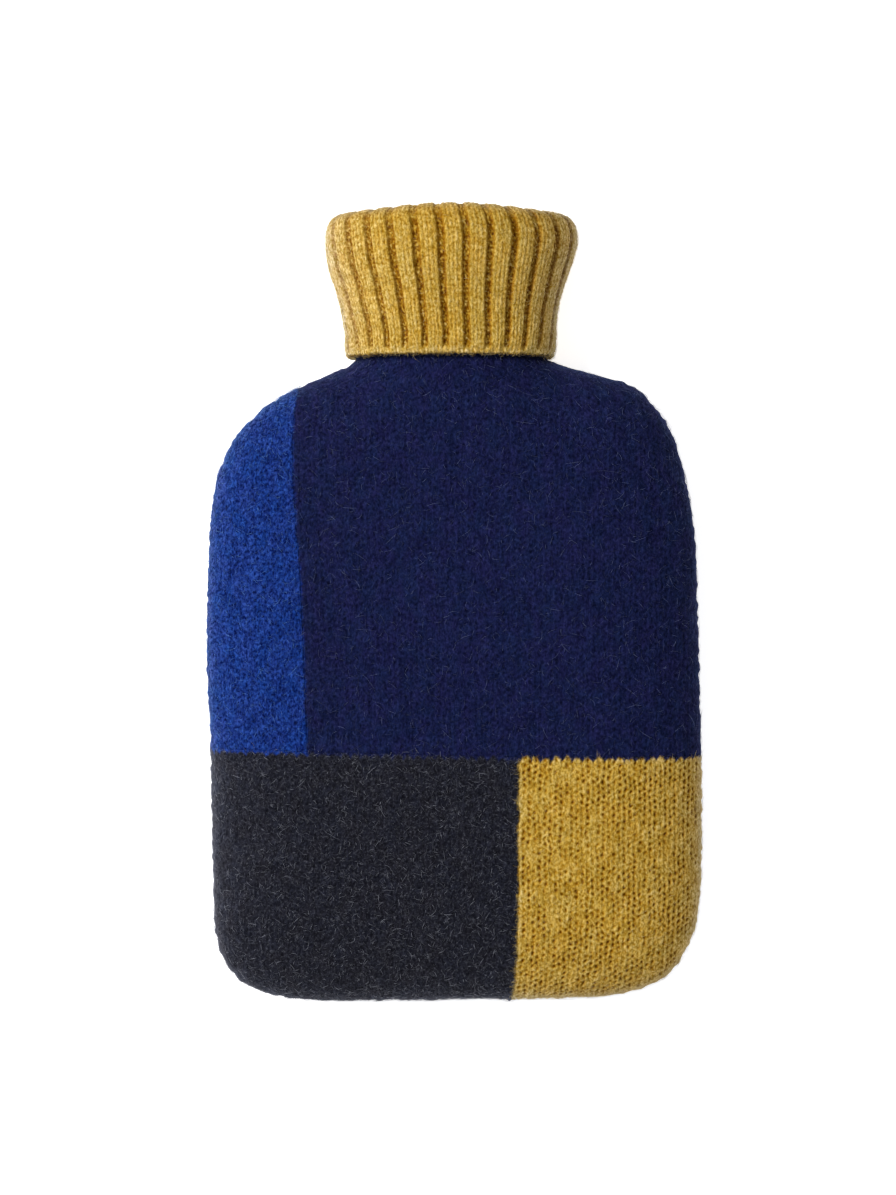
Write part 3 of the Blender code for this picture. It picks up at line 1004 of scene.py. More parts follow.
def lined(value, line, where=1.0):
    """What a line multiplies the shade by at points whose place across it is value."""
    return 1 + line.change * bell(value - line.place, line.wide) * where


def panel_shade(knit, yarn, seed):
    # painted shade: gaps and the creases between legs are darkened in the colour
    shade = (1 + yarn.uneven * knit.tone) * (1 - yarn.gap_dark * knit.gap)
    shade *= 1 - yarn.crease * np.maximum(0, 1 - knit.dome) ** 2
    drift = wander(knit.s, knit.t, seed + 21, size=0.012, amount=0.04)
    shade *= 1 + drift + yarn.mottle * knit.balls
    # painted shade along the seam's stitches
    return shade * lined(knit.distance, SEAM_LINE)


def front_shade(shade, knit, grid_x, along, shares):
    """The shade with the lines that only the front has."""
    shade = shade * lined(waist_line(knit.s, knit.t), WAIST_LOOPS)
    shade = shade * lined(knit.s, BORDER_LOOPS, shares[..., YARNS.index(MUSTARD)])
    # painted shadow on the navy just below the collar's hem
    return shade * lined(along, HEM_SHADOW_PAINTED, np.abs(grid_x) < HEM_SHADOW_PAINTED_HALF)


print("the relief fades", SEAM_DRAW * 1000, "mm from the seam")

# %% [markdown]
# ## Knitting a panel
#
# One function knits every block: it lays out the grid, lays the stitches, pushes the skin out
# by them and closes the cloth. The back lies on the floor, so nothing goes below that.

# %% Knit a panel
# the width of the fuzz's painted sheen along the seam
RIM_WIDE = 0.0013  # how wide the fuzz of the seam is
Block = namedtuple("Block", "name rows side edges columns yarn material seed")
Patch = namedtuple("Patch", "points normals colours")
Knitted = namedtuple("Knitted", "piece patch")


def knit_panel(block):
    """A closed piece of knitting, and the patch of outer points that its hairs grow from."""
    rows, side, yarn, seed = block.rows, block.side, block.yarn, block.seed
    x, across = survey(rows, side)
    grid_x = spread_columns(x, across, block.edges(rows, x), block.columns)
    along = rows[:, None] + row_tilt(grid_x, rows[:, None])
    skin, normals, outward = panel_skin(grid_x, along, side)
    s, t = knitters_places(rows, x, across, grid_x, outward, side)
    distance = nearest_on_seam(grid_x.ravel(), from_middle(along).ravel())[0]
    distance = distance.reshape(grid_x.shape)
    knit = knit_stitches(s, t, distance, seed)
    height = panel_height(knit, grid_x, along, yarn, seed)
    outer = skin + normals * height[..., None]
    shade = panel_shade(knit, yarn, seed)
    if side > 0:
        shares = yarn_shares(s, t)
        shade = front_shade(shade, knit, grid_x, along, shares)
    else:
        shares = all_of(yarn, s.shape)
        outer[..., 2] = np.maximum(outer[..., 2], 0)
    colours = dyed(shares, shade, side * normals[..., 2], np.exp(-distance / RIM_WIDE))

    low = (slice(None, None, COARSE), slice(None, None, COARSE))
    inner = skin[low] - normals[low] * (PANEL_CLOTH + SINK)
    points, quads, fans = close_cloth(outer, inner, side)
    all_colours = np.vstack([colours.reshape(-1, 4), colours[low].reshape(-1, 4)])
    places = np.stack([s, t], axis=-1)
    all_places = np.vstack([places.reshape(-1, 2), places[low].reshape(-1, 2)])
    piece = add_cloth(block.name, points, quads, fans, block.material, all_colours, all_places)
    patch = Patch(outer.reshape(-1, 3), normals.reshape(-1, 3), colours.reshape(-1, 4))
    return Knitted(piece, patch)


print("the fuzz of the seam is", RIM_WIDE * 1000, "mm wide")

# %% [markdown]
# ## Edges of the blocks
#
# In real knitting the colours are joined stitch by stitch, so the front is one cloth. Here
# each block is a piece of its own, which gives it its own wool. Neighbours share their border
# exactly, and their stitches go on across it, because both read the same coordinates. An edge
# function gives the x of a block's left and right end in each row.

# %% Edges of the blocks
LEAST_WIDTH = 0.0004  # of the royal blue, at its pointed top
TOP_SAMPLES = 4000
SHOULDER_X = -0.065  # about where its border meets the shoulder's seam


def whole_row(rows, x):
    return x[:, 0], x[:, -1]


def royal_edges(rows, x):
    return x[:, 0], np.maximum(x[:, 0] + LEAST_WIDTH, smooth_column(ROYAL_BORDER, "x", rows))


def navy_edges(rows, x):
    return np.maximum(x[:, 0], smooth_column(ROYAL_BORDER, "x", rows)), x[:, -1]


def charcoal_edges(rows, x):
    return x[:, 0], smooth_column(MUSTARD_BORDER, "x", rows)


def mustard_edges(rows, x):
    return smooth_column(MUSTARD_BORDER, "x", rows), x[:, -1]


def royal_top():
    """How far up the royal blue reaches, where its border meets the shoulder's seam."""
    alongs = np.linspace(WAIST, NECK_JOIN, TOP_SAMPLES)
    seam = seam_left(alongs + row_tilt(SHOULDER_X, alongs))
    ahead = smooth_column(ROYAL_BORDER, "x", alongs) - seam
    return float(alongs[np.argmax(ahead < LEAST_WIDTH)])


ROYAL_TOP = royal_top()
print("the royal blue reaches", round(ROYAL_TOP, 4), "m up")

# %% [markdown]
# ## The front and the back
#
# Each block has about as many rows and columns as its stitches need: the open stitches of the
# mustard get the finest grid, and the back, which lies underneath, the coarsest. All front
# blocks have the same seed, so that a stitch on a border is the same from both sides.

# %% Knit the front and the back
upper_rows = even_rows(WAIST, ROYAL_TOP, 1, 256)
neck_rows = even_rows(ROYAL_TOP, NECK_JOIN, 1, 48)
navy_rows = np.concatenate([upper_rows, neck_rows[1:]])
lower_rows = even_rows(0.0, WAIST, 1, 216)
mustard_rows = even_rows(0.0, WAIST, 1, 296)
back_rows = even_rows(0.0, NECK_JOIN, -1, 280)
FRONT_SEED = 3
BACK_SEED = 4
BLOCKS = (
    Block("royal_blue_block", upper_rows, 1, royal_edges, 72, ROYAL, ROYAL_WOOL, FRONT_SEED),
    Block("navy_block", navy_rows, 1, navy_edges, 304, NAVY, NAVY_WOOL, FRONT_SEED),
    Block("charcoal_block", lower_rows, 1, charcoal_edges, 240, CHARCOAL, CHARCOAL_WOOL, FRONT_SEED),
    Block("mustard_block", mustard_rows, 1, mustard_edges, 216, MUSTARD, MUSTARD_WOOL, FRONT_SEED),
    Block("back_knitting", back_rows, -1, whole_row, 208, NAVY, NAVY_WOOL, BACK_SEED),
)
royal, navy, charcoal, mustard, back = (knit_panel(block) for block in BLOCKS)

# %% [markdown]
# ## The rolled collar
#
# The collar is one tube of 2 by 2 rib: two wales of knit stitches stand out, two of purl
# stitches lie between them. Its cloth goes up inside the mouth, over the fold and down the
# outside. So its section is drawn once, as a path of distances along and how far in from the
# outer face: from the hem up the outside, over the fold, down to the seam, and back to the
# hem between the layers, where nothing shows and a few rows are enough.

# %% Collar path
LAYER_GAP_HEM = 0.0005  # between the collar's two layers at the hem
LAYER_GAP_TOP = 0.0036  # and at the fold
SEAM_GAP = 0.0003  # between the collar and the neck of the panels
HEM_STRETCH = 0.0016  # the edge stitches hang a little below the solid's hem
HEM_ROWS = 8
OUTSIDE_ROWS = 104
FOLD_ROWS = 24
INSIDE_ROWS = 25
HIDDEN_ROWS = 4
Path = namedtuple("Path", "along inset shown")


def collar_path():
    """The section of the collar's cloth, once around it. shown is where the rib shows."""
    hem = COLLAR_RINGS[0].along - HEM_STRETCH
    join = NECK_JOIN + SEAM_GAP
    fold = RIB_CLOTH + LAYER_GAP_TOP / 2
    inner_fold = LAYER_GAP_TOP / 2
    top = COVER_LENGTH - fold
    edge = RIB_CLOTH / 2
    parts = []

    def layer_gap(along):
        share = (along - hem) / (top - hem)
        return LAYER_GAP_HEM + (LAYER_GAP_TOP - LAYER_GAP_HEM) * share

    def add(along, inset, shown):
        parts.append(np.column_stack(np.broadcast_arrays(along, inset, shown)))

    turn = np.linspace(0, math.pi, HEM_ROWS, endpoint=False)
    add(hem + edge - edge * np.sin(turn), edge + edge * np.cos(turn), turn / math.pi)
    add(np.linspace(hem + edge, top, OUTSIDE_ROWS, endpoint=False), 0.0, 1.0)
    turn = np.linspace(0, math.pi, FOLD_ROWS, endpoint=False)
    add(top + fold * np.sin(turn), fold * (1 - np.cos(turn)), 1.0)
    inside = np.linspace(top, join, INSIDE_ROWS)
    add(inside, 2 * RIB_CLOTH + layer_gap(inside), 1.0)
    between = np.linspace(join, top, HIDDEN_ROWS)[:-1]
    add(between, RIB_CLOTH + layer_gap(between), 0.0)
    turn = np.linspace(math.pi, 0, HIDDEN_ROWS)
    add(top + inner_fold * np.sin(turn), fold - inner_fold * np.cos(turn), 0.0)
    add(np.linspace(top, hem + edge, HIDDEN_ROWS, endpoint=False)[1:], RIB_CLOTH, 0.0)
    return Path(*np.vstack(parts).T)


path = collar_path()
print(len(path.along), "rows in the collar's section")

# %% [markdown]
# ## Round the neck
#
# The section is swept round the neck: each of its rows becomes a ring, rounder in front than
# behind, whose points are spread by how far they are over the cloth. The fold lies lower at
# both sides than in the middle, because the neck is widest there and stretches the tube.

# %% Sweep the path round the neck
COLLAR_SIDE_DIP = 0.0024  # how much lower the fold is at the sides
COLLAR_DIP_REACH = 0.045  # this far from the middle the dip is complete
RING_SAMPLES = 1440


def collar_dip(x, along):
    join = NECK_JOIN + SEAM_GAP
    up = np.maximum(0, (along - join) / (COVER_LENGTH - join))
    turn = math.pi / 2 * np.minimum(1, np.abs(x) / COLLAR_DIP_REACH)
    return COLLAR_SIDE_DIP * up * np.sin(turn) ** 2


def collar_skin(path, fractions):
    """The swept section, as a grid of points: path by fractions of the way round."""
    points = np.empty((len(path.along), len(fractions), 3))
    turns = np.linspace(0, 2 * math.pi, RING_SAMPLES + 1)
    cos, sin = np.cos(turns), np.sin(turns)
    power = np.where(sin >= 0, 2 / FRONT_ROUNDNESS, 2 / BACK_ROUNDNESS)
    for r, (along, inset) in enumerate(zip(path.along, path.inset)):
        left, right, high, low = (
            float(smooth_column(COLLAR_RINGS, column, along))
            for column in ("left", "right", "high", "low"))
        left, right, high, low = left - inset, right - inset, high - inset, low + inset
        x = (right - left) / 2 + (left + right) / 2 * np.sign(cos) * np.abs(cos) ** power
        reach = np.where(sin >= 0, high - SEAM_HEIGHT, SEAM_HEIGHT - low)
        z = SEAM_HEIGHT + reach * np.sign(sin) * np.abs(sin) ** power
        run = np.concatenate([[0], np.cumsum(np.hypot(np.diff(x), np.diff(z)))])
        ring_x = np.interp(fractions * run[-1], run, x)
        ring_z = np.interp(fractions * run[-1], run, z)
        y = from_middle(along) - collar_dip(ring_x, along)
        points[r] = np.column_stack([ring_x, y, ring_z])
    return points


print("a ring is read from", RING_SAMPLES, "points")

# %% [markdown]
# ## Counting the ribs
#
# A place on the collar is told by counting ribs round the neck and measuring up the cloth
# from the hem. Ribs of one width would look like a pipe. These crowd a little in the middle of
# the front and more where the collar turns to its sides, and they lean and bow, because the
# tube was rolled over by hand. Each of that is one term of a sum, so it can be changed alone.
# The front half has twice as many columns for each rib as the back, which lies on the floor.

# %% Count the ribs
RIBS = 24
RIBS_CROWD = 0.042  # how much closer the ribs are in the middle of the front than all round
RIBS_TUCKED = 0.18  # twice as many ribs as this are drawn in at either side of the front
RIBS_TUCKED_HEM = 0.30  # and twice as many as this besides, at the hem
TUCK_REACH = 0.030  # how far up from the hem those are
RIBS_SHIFT = 0.136  # ribs, at the hem
RIBS_LEAN = -3.0  # ribs for each metre up the collar
RIBS_BOW = -100.0  # ribs for each square metre
RIB_PITCH = 0.010  # about the width of a rib, in metres
FINE_PER_RIB = 28
COARSE_PER_RIB = 14


def rib_fractions():
    """How far round the neck each column is, from its right side over the front."""
    front = np.arange(RIBS // 2 * FINE_PER_RIB) / FINE_PER_RIB
    rear = RIBS / 2 + np.arange(RIBS // 2 * COARSE_PER_RIB) / COARSE_PER_RIB
    return np.concatenate([front, rear]) / RIBS


def ribs_around(t, turn, fractions, seed):
    """How many ribs round the neck each point is. turn is 0 in the middle of the front."""
    around = RIBS * (fractions + RIBS_CROWD * np.sin(turn) / (2 * math.pi)) + 0.5
    tucked = RIBS_TUCKED + RIBS_TUCKED_HEM * (1 - smooth_step(t / TUCK_REACH))
    around = around[None, :] + tucked * (2 * np.sin(turn) - np.sin(2 * turn))
    around = around + RIBS_SHIFT + RIBS_LEAN * t + RIBS_BOW * t**2
    return around + wander(around * RIB_PITCH, t, seed + 1, size=0.05, amount=0.012)


print(len(rib_fractions()), "columns round the neck")

# %% [markdown]
# ## What lies at each point of the rib
#
# The raised part of a rib carries two wales of knit stitches, laid like those of the panels,
# with a furrow between one row of legs and the next. The valley carries purl stitches, which
# are rows of small bumps, and felting has made it rough. The lowest few millimetres are the
# cast-off edge, which has no ribs and rolls into lumps.

# %% Points of the rib
RIB_GAUGE = Gauge(0.0034, 0.0019, 0.00150, 0.00100, 0.30)
RIB_RAISED = 0.72  # the share of a rib's width that is raised
RIB_WALES = 2
RIB_LEGS = 2 * RIB_WALES
PURL_COLUMNS = 4  # columns of purl bumps for each rib's width
VALLEY_STEEP = 1.4
VALLEY_START = 0.35  # how far the valley has begun at the edge of the raised part
VALLEY_ROUGH = 0.25
VALLEY_LEAST = 0.02  # less of a valley than this isn't made rough
FURROW_WIDE = 0.17  # of a leg
CREASE_OFF = 0.04  # ribs, from the raised part to the middle of the crease beside it
CREASE_WIDE = 0.06
LUMP_PITCH = 0.011
HEM_PLAIN = 0.0030  # the ribs begin over this height above the hem
RibPoint = namedtuple(
    "RibPoint", "s t dome tone crest valley ribbed purl rough furrow crease balls lump")


def rib_points(around, t, hem_run, seed):
    rib = np.floor(around)
    half = RIB_RAISED / 2
    edge = 0.5 - half
    off = np.abs(around - rib - 0.5)
    valley = smooth_step((off - half) / edge * VALLEY_STEEP + VALLEY_START)
    crest = 1 - np.clip(off / half, 0, 1) ** 2
    share = np.clip((around - rib - edge) / RIB_RAISED, 0, 1)
    drift = wander(around * RIB_PITCH, t, seed + 2, size=0.003, amount=0.00006)
    s = (rib * RIB_WALES + share * RIB_WALES) * RIB_GAUGE.wale + drift
    t = t + wander(s, t, seed + 3, size=0.004, amount=0.00015)
    dome, tone = lay_legs(s, t, RIB_GAUGE, seed)
    bump = t / RIB_GAUGE.course + 0.5 * np.round(around * PURL_COLUMNS)
    purl = np.abs(np.sin(math.pi * bump)) * np.abs(np.cos(math.pi * around * PURL_COLUMNS))
    rough = lumps(around * LUMP_PITCH, t, seed + 6, size=0.0006)
    valley = np.clip(valley + VALLEY_ROUGH * rough * (valley > VALLEY_LEAST), 0, 1)
    ribbed = smooth_step((t - hem_run) / HEM_PLAIN)
    furrow = bell(share * RIB_LEGS - np.round(share * RIB_LEGS), FURROW_WIDE) * (1 - valley)
    # the crease beside each raised part, where painted shadow falls
    crease = bell(around - rib - 0.5 - half - CREASE_OFF, CREASE_WIDE) * ribbed
    balls = fibre_balls(around * RIB_PITCH, t, seed + 4)
    lump = lumps(around * LUMP_PITCH, t, seed + 7, size=0.0016)
    return RibPoint(
        s, t, dome, tone, crest, valley, ribbed, purl, rough, furrow, crease, balls, lump)


print("rib gauge:", [round(v * 1000, 2) for v in RIB_GAUGE[:4]], "mm")

# %% [markdown]
# ## Relief and shade of the rib
#
# As on the panels, the height and the painted shade add up from the same things: the valleys,
# the low places between legs, the furrows and a crease beside each raised part are darkened
# with painted shade, and each crest gets a painted highlight, partly its paler fuzz. Over the
# fold and at the collar's sides the cloth is pulled flat, so its valleys are shallower and carry
# less painted shade there, and the whole is a little darker there with painted shade. All
# heights are in metres, and all tints say how much lighter or darker a thing makes it.

# %% Relief and shade of the rib
RibHigh = namedtuple("RibHigh", "valley crest stitch purl rough ball furrow lump hem")
HIGH = RibHigh(
    valley=0.0014, crest=0.00030, stitch=0.00035, purl=0.00030, rough=0.00045,
    ball=0.00012, furrow=0.00012, lump=0.00045, hem=0.00030)
RibTint = namedtuple(
    "RibTint", "tone ball low crease pulled hem furrow base crest valley purl rough")
# pulled is painted shade over the fold and at the collar's sides; crest is a painted highlight
TINT = RibTint(
    tone=0.08, ball=0.16, low=0.40, crease=0.28, pulled=0.13, hem=0.18, furrow=0.16,
    base=0.95, crest=0.12, valley=0.48, purl=0.14, rough=0.72)
Pulled = namedtuple("Pulled", "depth crease valley")
PULLED = Pulled(0.70, 0.6, 0.5)  # the shares of these that are gone where the cloth is pulled flat
FOLD_START = 0.010  # how far below the top the pull of the fold begins
FOLD_RUN = 0.008
SIDE_PULL = 0.5
SIDE_POWER = 6  # a high power keeps the pull close to the sides
LOW_POWER = 1.5


def pulled_flat(path, turn):
    """How flat the rib is pulled, from 0 to 1."""
    over = smooth_step((path.along[:, None] - COVER_LENGTH + FOLD_START) / FOLD_RUN)
    return np.maximum(over, SIDE_PULL * np.abs(np.sin(turn)) ** SIDE_POWER)


def rib_height(at, pulled):
    height = -HIGH.valley * at.valley * (1 - PULLED.depth * pulled) + HIGH.crest * at.crest
    bumps = (HIGH.purl * at.purl + HIGH.rough * at.rough) * at.valley
    height = height + HIGH.stitch * at.dome * (1 - at.valley) + bumps
    height = height * at.ribbed + (HIGH.lump * at.lump - HIGH.hem) * (1 - at.ribbed)
    return height + HIGH.ball * at.balls - HIGH.furrow * at.furrow


def rib_shade(at, pulled):
    low = np.maximum(0, 1 - at.dome) ** LOW_POWER
    shade = 1 + TINT.tone * at.tone + TINT.ball * at.balls
    # painted shade between the legs, in the crease, and over the fold and at the sides
    shade = shade * (1 - TINT.low * low * (1 - at.valley))
    shade = shade * (1 - TINT.crease * at.crease * (1 - PULLED.crease * pulled))
    shade = shade * (1 - TINT.pulled * pulled)
    shade = shade * (1 + TINT.hem * (1 - at.ribbed))
    # painted shade in the furrows, and a painted highlight on each crest, partly its paler fuzz
    shade = shade * (1 - TINT.furrow * at.furrow)
    shade = shade * (TINT.base + TINT.crest * at.crest)
    # painted shade in the valleys, broken by lighter purl bumps and rough pips
    valley = TINT.valley - TINT.purl * at.purl - TINT.rough * at.rough
    return shade * (1 - at.valley * at.ribbed * (1 - PULLED.valley * pulled) * valley)


def rib_relief(skin, path, fractions, seed):
    """Height and shade of the rib at each point of the swept grid, and the knitter's places."""
    steps = np.linalg.norm(np.diff(skin, axis=0), axis=2).mean(axis=1)
    t = np.concatenate([[0], np.cumsum(steps)])[:, None]
    turn = 2 * math.pi * (fractions - 0.25)
    around = ribs_around(t, turn, fractions, seed)
    at = rib_points(around, t, steps[:HEM_ROWS].sum(), seed)
    pulled = pulled_flat(path, turn)
    height = rib_height(at, pulled) * path.shown[:, None]
    return height, rib_shade(at, pulled), at.s, at.t


print("the ribs are", HIGH.valley * 1000, "mm deep")

# %% [markdown]
# ## The collar
#
# The relief is pushed out of the swept section along its normals. The grid is closed both
# ways, so it needs no edges. The lower edge of the hem, where it turns under, is darkened with
# painted shade.

# %% Knit the collar
COLLAR_SEED = 31
# HEM_SHADE is painted shade where the hem turns under
HEM_SHADE = 0.45  # how much darker the hem's lower edge is
HEM_PATCH_ROWS = (2, 14)


def grid_normals(skin):
    """Normals of a grid that is closed both ways."""
    down = np.roll(skin, -1, axis=0) - np.roll(skin, 1, axis=0)
    round_it = np.roll(skin, -1, axis=1) - np.roll(skin, 1, axis=1)
    normals = np.cross(down, round_it)
    return normals / (np.linalg.norm(normals, axis=2)[..., None] + 1e-12)


def closed_quads(rows, columns):
    r, c = np.meshgrid(np.arange(rows), np.arange(columns), indexing="ij")
    r, c = r.ravel(), c.ravel()
    down, over = (r + 1) % rows, (c + 1) % columns
    corners = (r * columns + c, down * columns + c, down * columns + over, r * columns + over)
    return np.column_stack(corners)


def knit_collar():
    """The collar, the patch of all that shows of it, and the patch of its hem."""
    fractions = rib_fractions()
    skin = collar_skin(path, fractions)
    normals = grid_normals(skin)
    height, shade, s, t = rib_relief(skin, path, fractions, COLLAR_SEED)
    points = skin + normals * height[..., None]
    points[..., 2] = np.maximum(points[..., 2], 0)
    under = np.clip(-normals[..., 1], 0, 1)
    upright = np.maximum(np.abs(normals[..., 2]), under)
    # painted shade on the underside of the hem
    shade = shade * (1 - HEM_SHADE * under**4)
    # the collar's painted sheen of its fuzz grows where it turns away from a view from above
    colours = dyed(all_of(MUSTARD, shade.shape), shade, upright, (1 - upright) ** 2)
    no_triangles = np.empty((0, 3), int)
    places = np.stack(np.broadcast_arrays(s, t), axis=-1).reshape(-1, 2)
    piece = add_cloth(
        "rib_collar", points.reshape(-1, 3), closed_quads(*skin.shape[:2]), no_triangles,
        MUSTARD_WOOL, colours.reshape(-1, 4), places)

    def patch(rows, columns):
        part = np.ix_(rows, columns)
        return Patch(
            points[part].reshape(-1, 3), normals[part].reshape(-1, 3),
            colours[part].reshape(-1, 4))

    everywhere = np.arange(len(fractions))
    whole = patch(np.flatnonzero(path.shown > 0.99), everywhere)
    hem = patch(np.arange(*HEM_PATCH_ROWS), everywhere[fractions < 0.5])
    return piece, whole, hem


collar, collar_patch, hem_patch = knit_collar()

# %% [markdown]
# ## Loose hairs
#
# Brushing pulls fibres out of the yarn. Each of these hairs is a long thin solid with a point
# at both ends and a bend in the middle, laid in any direction over the cloth, with one end in
# it. They soften the outline, and on the charcoal wool, whose fibres are of mixed colours,
# the pale ones are what the eye sees first. Hair particles could do this as well, but solids
# go through every exporter.

# %% Bend hairs
Hairs = namedtuple("Hairs", "count length thick lift bend")
LENGTH_UNEVEN = 0.45
LIFTS = (0.2, 1.0)
THICKNESSES = (0.6, 1.2)
SETTLES = (-0.3, 0.5)  # the second bend is this much of the lift higher than the first
THIRD = 0.33  # of its length, between a hair's root and its first bend, and so on
ROOT_DEPTH = 0.0002  # the root is in the cloth
CLEARANCE = 0.0003  # and the rest above it
DROOP = 0.4  # the tip comes back towards the cloth by this share of the lift


def bend_hairs(chance, spots, normal, hairs, towards):
    """The points of hairs that lie any way over the cloth, or mostly towards a direction."""
    any_way = chance.normal(size=(hairs.count, 3)) + np.array(towards)
    lying = any_way - np.sum(any_way * normal, axis=1)[:, None] * normal
    lying /= np.linalg.norm(lying, axis=1)[:, None]
    aside = np.cross(normal, lying)

    def each(low, high):
        return chance.uniform(low, high, hairs.count)[:, None]

    length = hairs.length * np.exp(LENGTH_UNEVEN * chance.normal(size=hairs.count))[:, None]
    lift = hairs.lift * each(*LIFTS)
    thick = hairs.thick * each(*THICKNESSES)
    curve, swing = hairs.bend * each(-1, 1), hairs.bend * each(-1, 1)
    root = spots - normal * ROOT_DEPTH
    first = root + length * (THIRD * lying + curve * aside) + normal * (CLEARANCE + lift)
    second = first + length * (THIRD * lying + swing * aside) + normal * lift * each(*SETTLES)
    last = length * (THIRD * lying + (2 * swing - curve) * aside)
    tip = second + last - normal * lift * DROOP
    rings = [middle + thick * (aside * math.cos(turn) + normal * math.sin(turn))
             for middle in (first, second)
             for turn in (math.pi / 2, math.pi * 7 / 6, math.pi * 11 / 6)]
    points = np.stack([root, *rings, tip], axis=1)
    points[..., 2] = np.maximum(points[..., 2], 0)
    return points


print("a hair's steps are", THIRD, "of its length")

# %% [markdown]
# ## A set of hairs
#
# Each set of hairs is one piece. Their roots are chance points of a patch of cloth, more of
# them where the cloth turns away, because there they stand out against what is behind. A hair
# has the colour of the cloth at its root, mixed by chance with its yarn's pale fibre.

# %% Scatter hairs
HAIR_POINTS = 8  # its root, two rings of three points, and its tip
HAIR_FACES = [(0, 2, 1), (0, 3, 2), (0, 1, 3), (7, 4, 5), (7, 5, 6), (7, 6, 4)]
for a, b in ((1, 2), (2, 3), (3, 1)):
    HAIR_FACES += [(a, b, b + 3), (a, b + 3, a + 3)]
FACING_DOWN = -0.2  # few hairs grow where the normal's z is less than this
FEW = 0.1
FLAT_SHARE = 0.4  # the weight of a point where the cloth lies flat


def hair_material(name):
    material = bpy.data.materials.new(name)
    material.use_nodes = True
    tree = material.node_tree
    shader = tree.nodes["Principled BSDF"]
    colour = Shade(tree).node("ShaderNodeAttribute", {"attribute_name": "yarn"})
    tree.links.new(colour.socket, shader.inputs["Base Color"])
    shader.inputs["Roughness"].default_value = 0.7
    return material


HAIR = hair_material("loose hairs")


def scatter_hairs(name, patch, yarn, hairs, seed, towards=(0.0, 0.0, 0.0)):
    """Hairs rooted at chance points of a patch of cloth, as one piece."""
    chance = np.random.default_rng(seed)
    up = patch.normals[:, 2]
    weight = np.where(up > FACING_DOWN, FLAT_SHARE + (1 - up) ** 2, FEW)
    roots = chance.choice(len(patch.points), hairs.count, p=weight / weight.sum())
    points = bend_hairs(chance, patch.points[roots], patch.normals[roots], hairs, towards)
    starts = np.arange(hairs.count)[:, None, None] * HAIR_POINTS
    faces = (starts + np.array(HAIR_FACES)).reshape(-1, 3)
    mixed = chance.uniform(0, 1, hairs.count)[:, None] ** 2
    colour = patch.colours[roots, :3] * (1 - mixed) + np.array(yarn.pale) * mixed
    colour = np.concatenate([colour, np.ones((hairs.count, 1))], axis=1)
    no_quads = np.empty((0, 4), int)
    no_places = np.zeros((hairs.count * HAIR_POINTS, 2))
    return add_cloth(
        name, points.reshape(-1, 3), no_quads, faces, HAIR,
        np.repeat(colour, HAIR_POINTS, axis=0), no_places, flat_triangles=False)


print("a hair has", len(HAIR_FACES), "faces")

# %% [markdown]
# ## Where the hairs grow
#
# Hairs grow all over each piece, but in the mustard only from its brighter points, because a
# dark one would look like a crack. Where the mustard ends, short hairs stray over the next
# wool, to the left and up. At the hem they hang down, and navy fuzz clings to its lower edge,
# coloured from black to navy as painted shadow under the hem.

# %% Patches for hairs
PALE_ENOUGH = 0.42  # of red
SIDE_BAND = 0.0015
TOP_BAND = 0.0030


def part_of(patch, chosen):
    return Patch(patch.points[chosen], patch.normals[chosen], patch.colours[chosen])


collar_patch = part_of(collar_patch, collar_patch.colours[:, 0] > PALE_ENOUGH)
mustard_patch = part_of(mustard.patch, mustard.patch.colours[:, 0] > PALE_ENOUGH)
mustard_along = mustard_patch.points[:, 1] + COVER_LENGTH / 2
border_x = smooth_column(MUSTARD_BORDER, "x", mustard_along)
side_patch = part_of(mustard_patch, mustard_patch.points[:, 0] < border_x + SIDE_BAND)
top_patch = part_of(mustard_patch, mustard_along > WAIST - TOP_BAND)
hem_edge = (hem_patch.normals[:, 1] < -0.3) & (hem_patch.normals[:, 2] > 0.2)
hem_shadow_patch = part_of(hem_patch, hem_edge)
# black at the root: the fuzz at the hem's edge carries painted shadow
hem_shadow_patch = hem_shadow_patch._replace(colours=0 * hem_shadow_patch.colours)
print("points at the hem's edge:", int(hem_edge.sum()))

# %% [markdown]
# ## Growing the hairs
#
# The long wool of the blues has the longest hairs. Each set has its own seed, so that one can
# be changed while the others stay as they are.

# %% Grow the hairs
DARK_NAVY = NAVY._replace(pale=NAVY.colour)
LEFT = (-3.0, 0.0, 0.0)
UP = (0.0, 3.0, 0.0)
DOWN = (0.0, -3.0, 0.0)
MOSTLY_DOWN = (0.0, -1.0, 0.0)
royal_hairs = scatter_hairs(
    "royal_blue_hairs", royal.patch, ROYAL, Hairs(1500, 0.0032, 0.00004, 0.0003, 0.14), 51)
navy_hairs = scatter_hairs(
    "navy_hairs", navy.patch, NAVY, Hairs(4000, 0.0034, 0.00004, 0.0003, 0.14), 52)
charcoal_hairs = scatter_hairs(
    "charcoal_hairs", charcoal.patch, CHARCOAL, Hairs(5200, 0.0023, 0.00005, 0.0003, 0.16), 53)
mustard_hairs = scatter_hairs(
    "mustard_hairs", mustard_patch, MUSTARD, Hairs(1800, 0.0022, 0.00004, 0.0003, 0.16), 54)
back_hairs = scatter_hairs(
    "back_hairs", back.patch, NAVY, Hairs(1200, 0.0034, 0.00004, 0.0003, 0.14), 55)
collar_hairs = scatter_hairs(
    "collar_hairs", collar_patch, MUSTARD, Hairs(3500, 0.0022, 0.00004, 0.0004, 0.16), 56)
side_hairs = scatter_hairs(
    "mustard_hairs_at_the_side", side_patch, MUSTARD,
    Hairs(420, 0.0016, 0.00004, 0.0003, 0.20), 59, LEFT)
top_hairs = scatter_hairs(
    "mustard_hairs_at_the_top", top_patch, MUSTARD,
    Hairs(240, 0.0013, 0.00004, 0.0003, 0.20), 60, UP)
hem_hairs = scatter_hairs(
    "hem_hairs", hem_patch, MUSTARD, Hairs(700, 0.0016, 0.00004, 0.0004, 0.20), 57, DOWN)
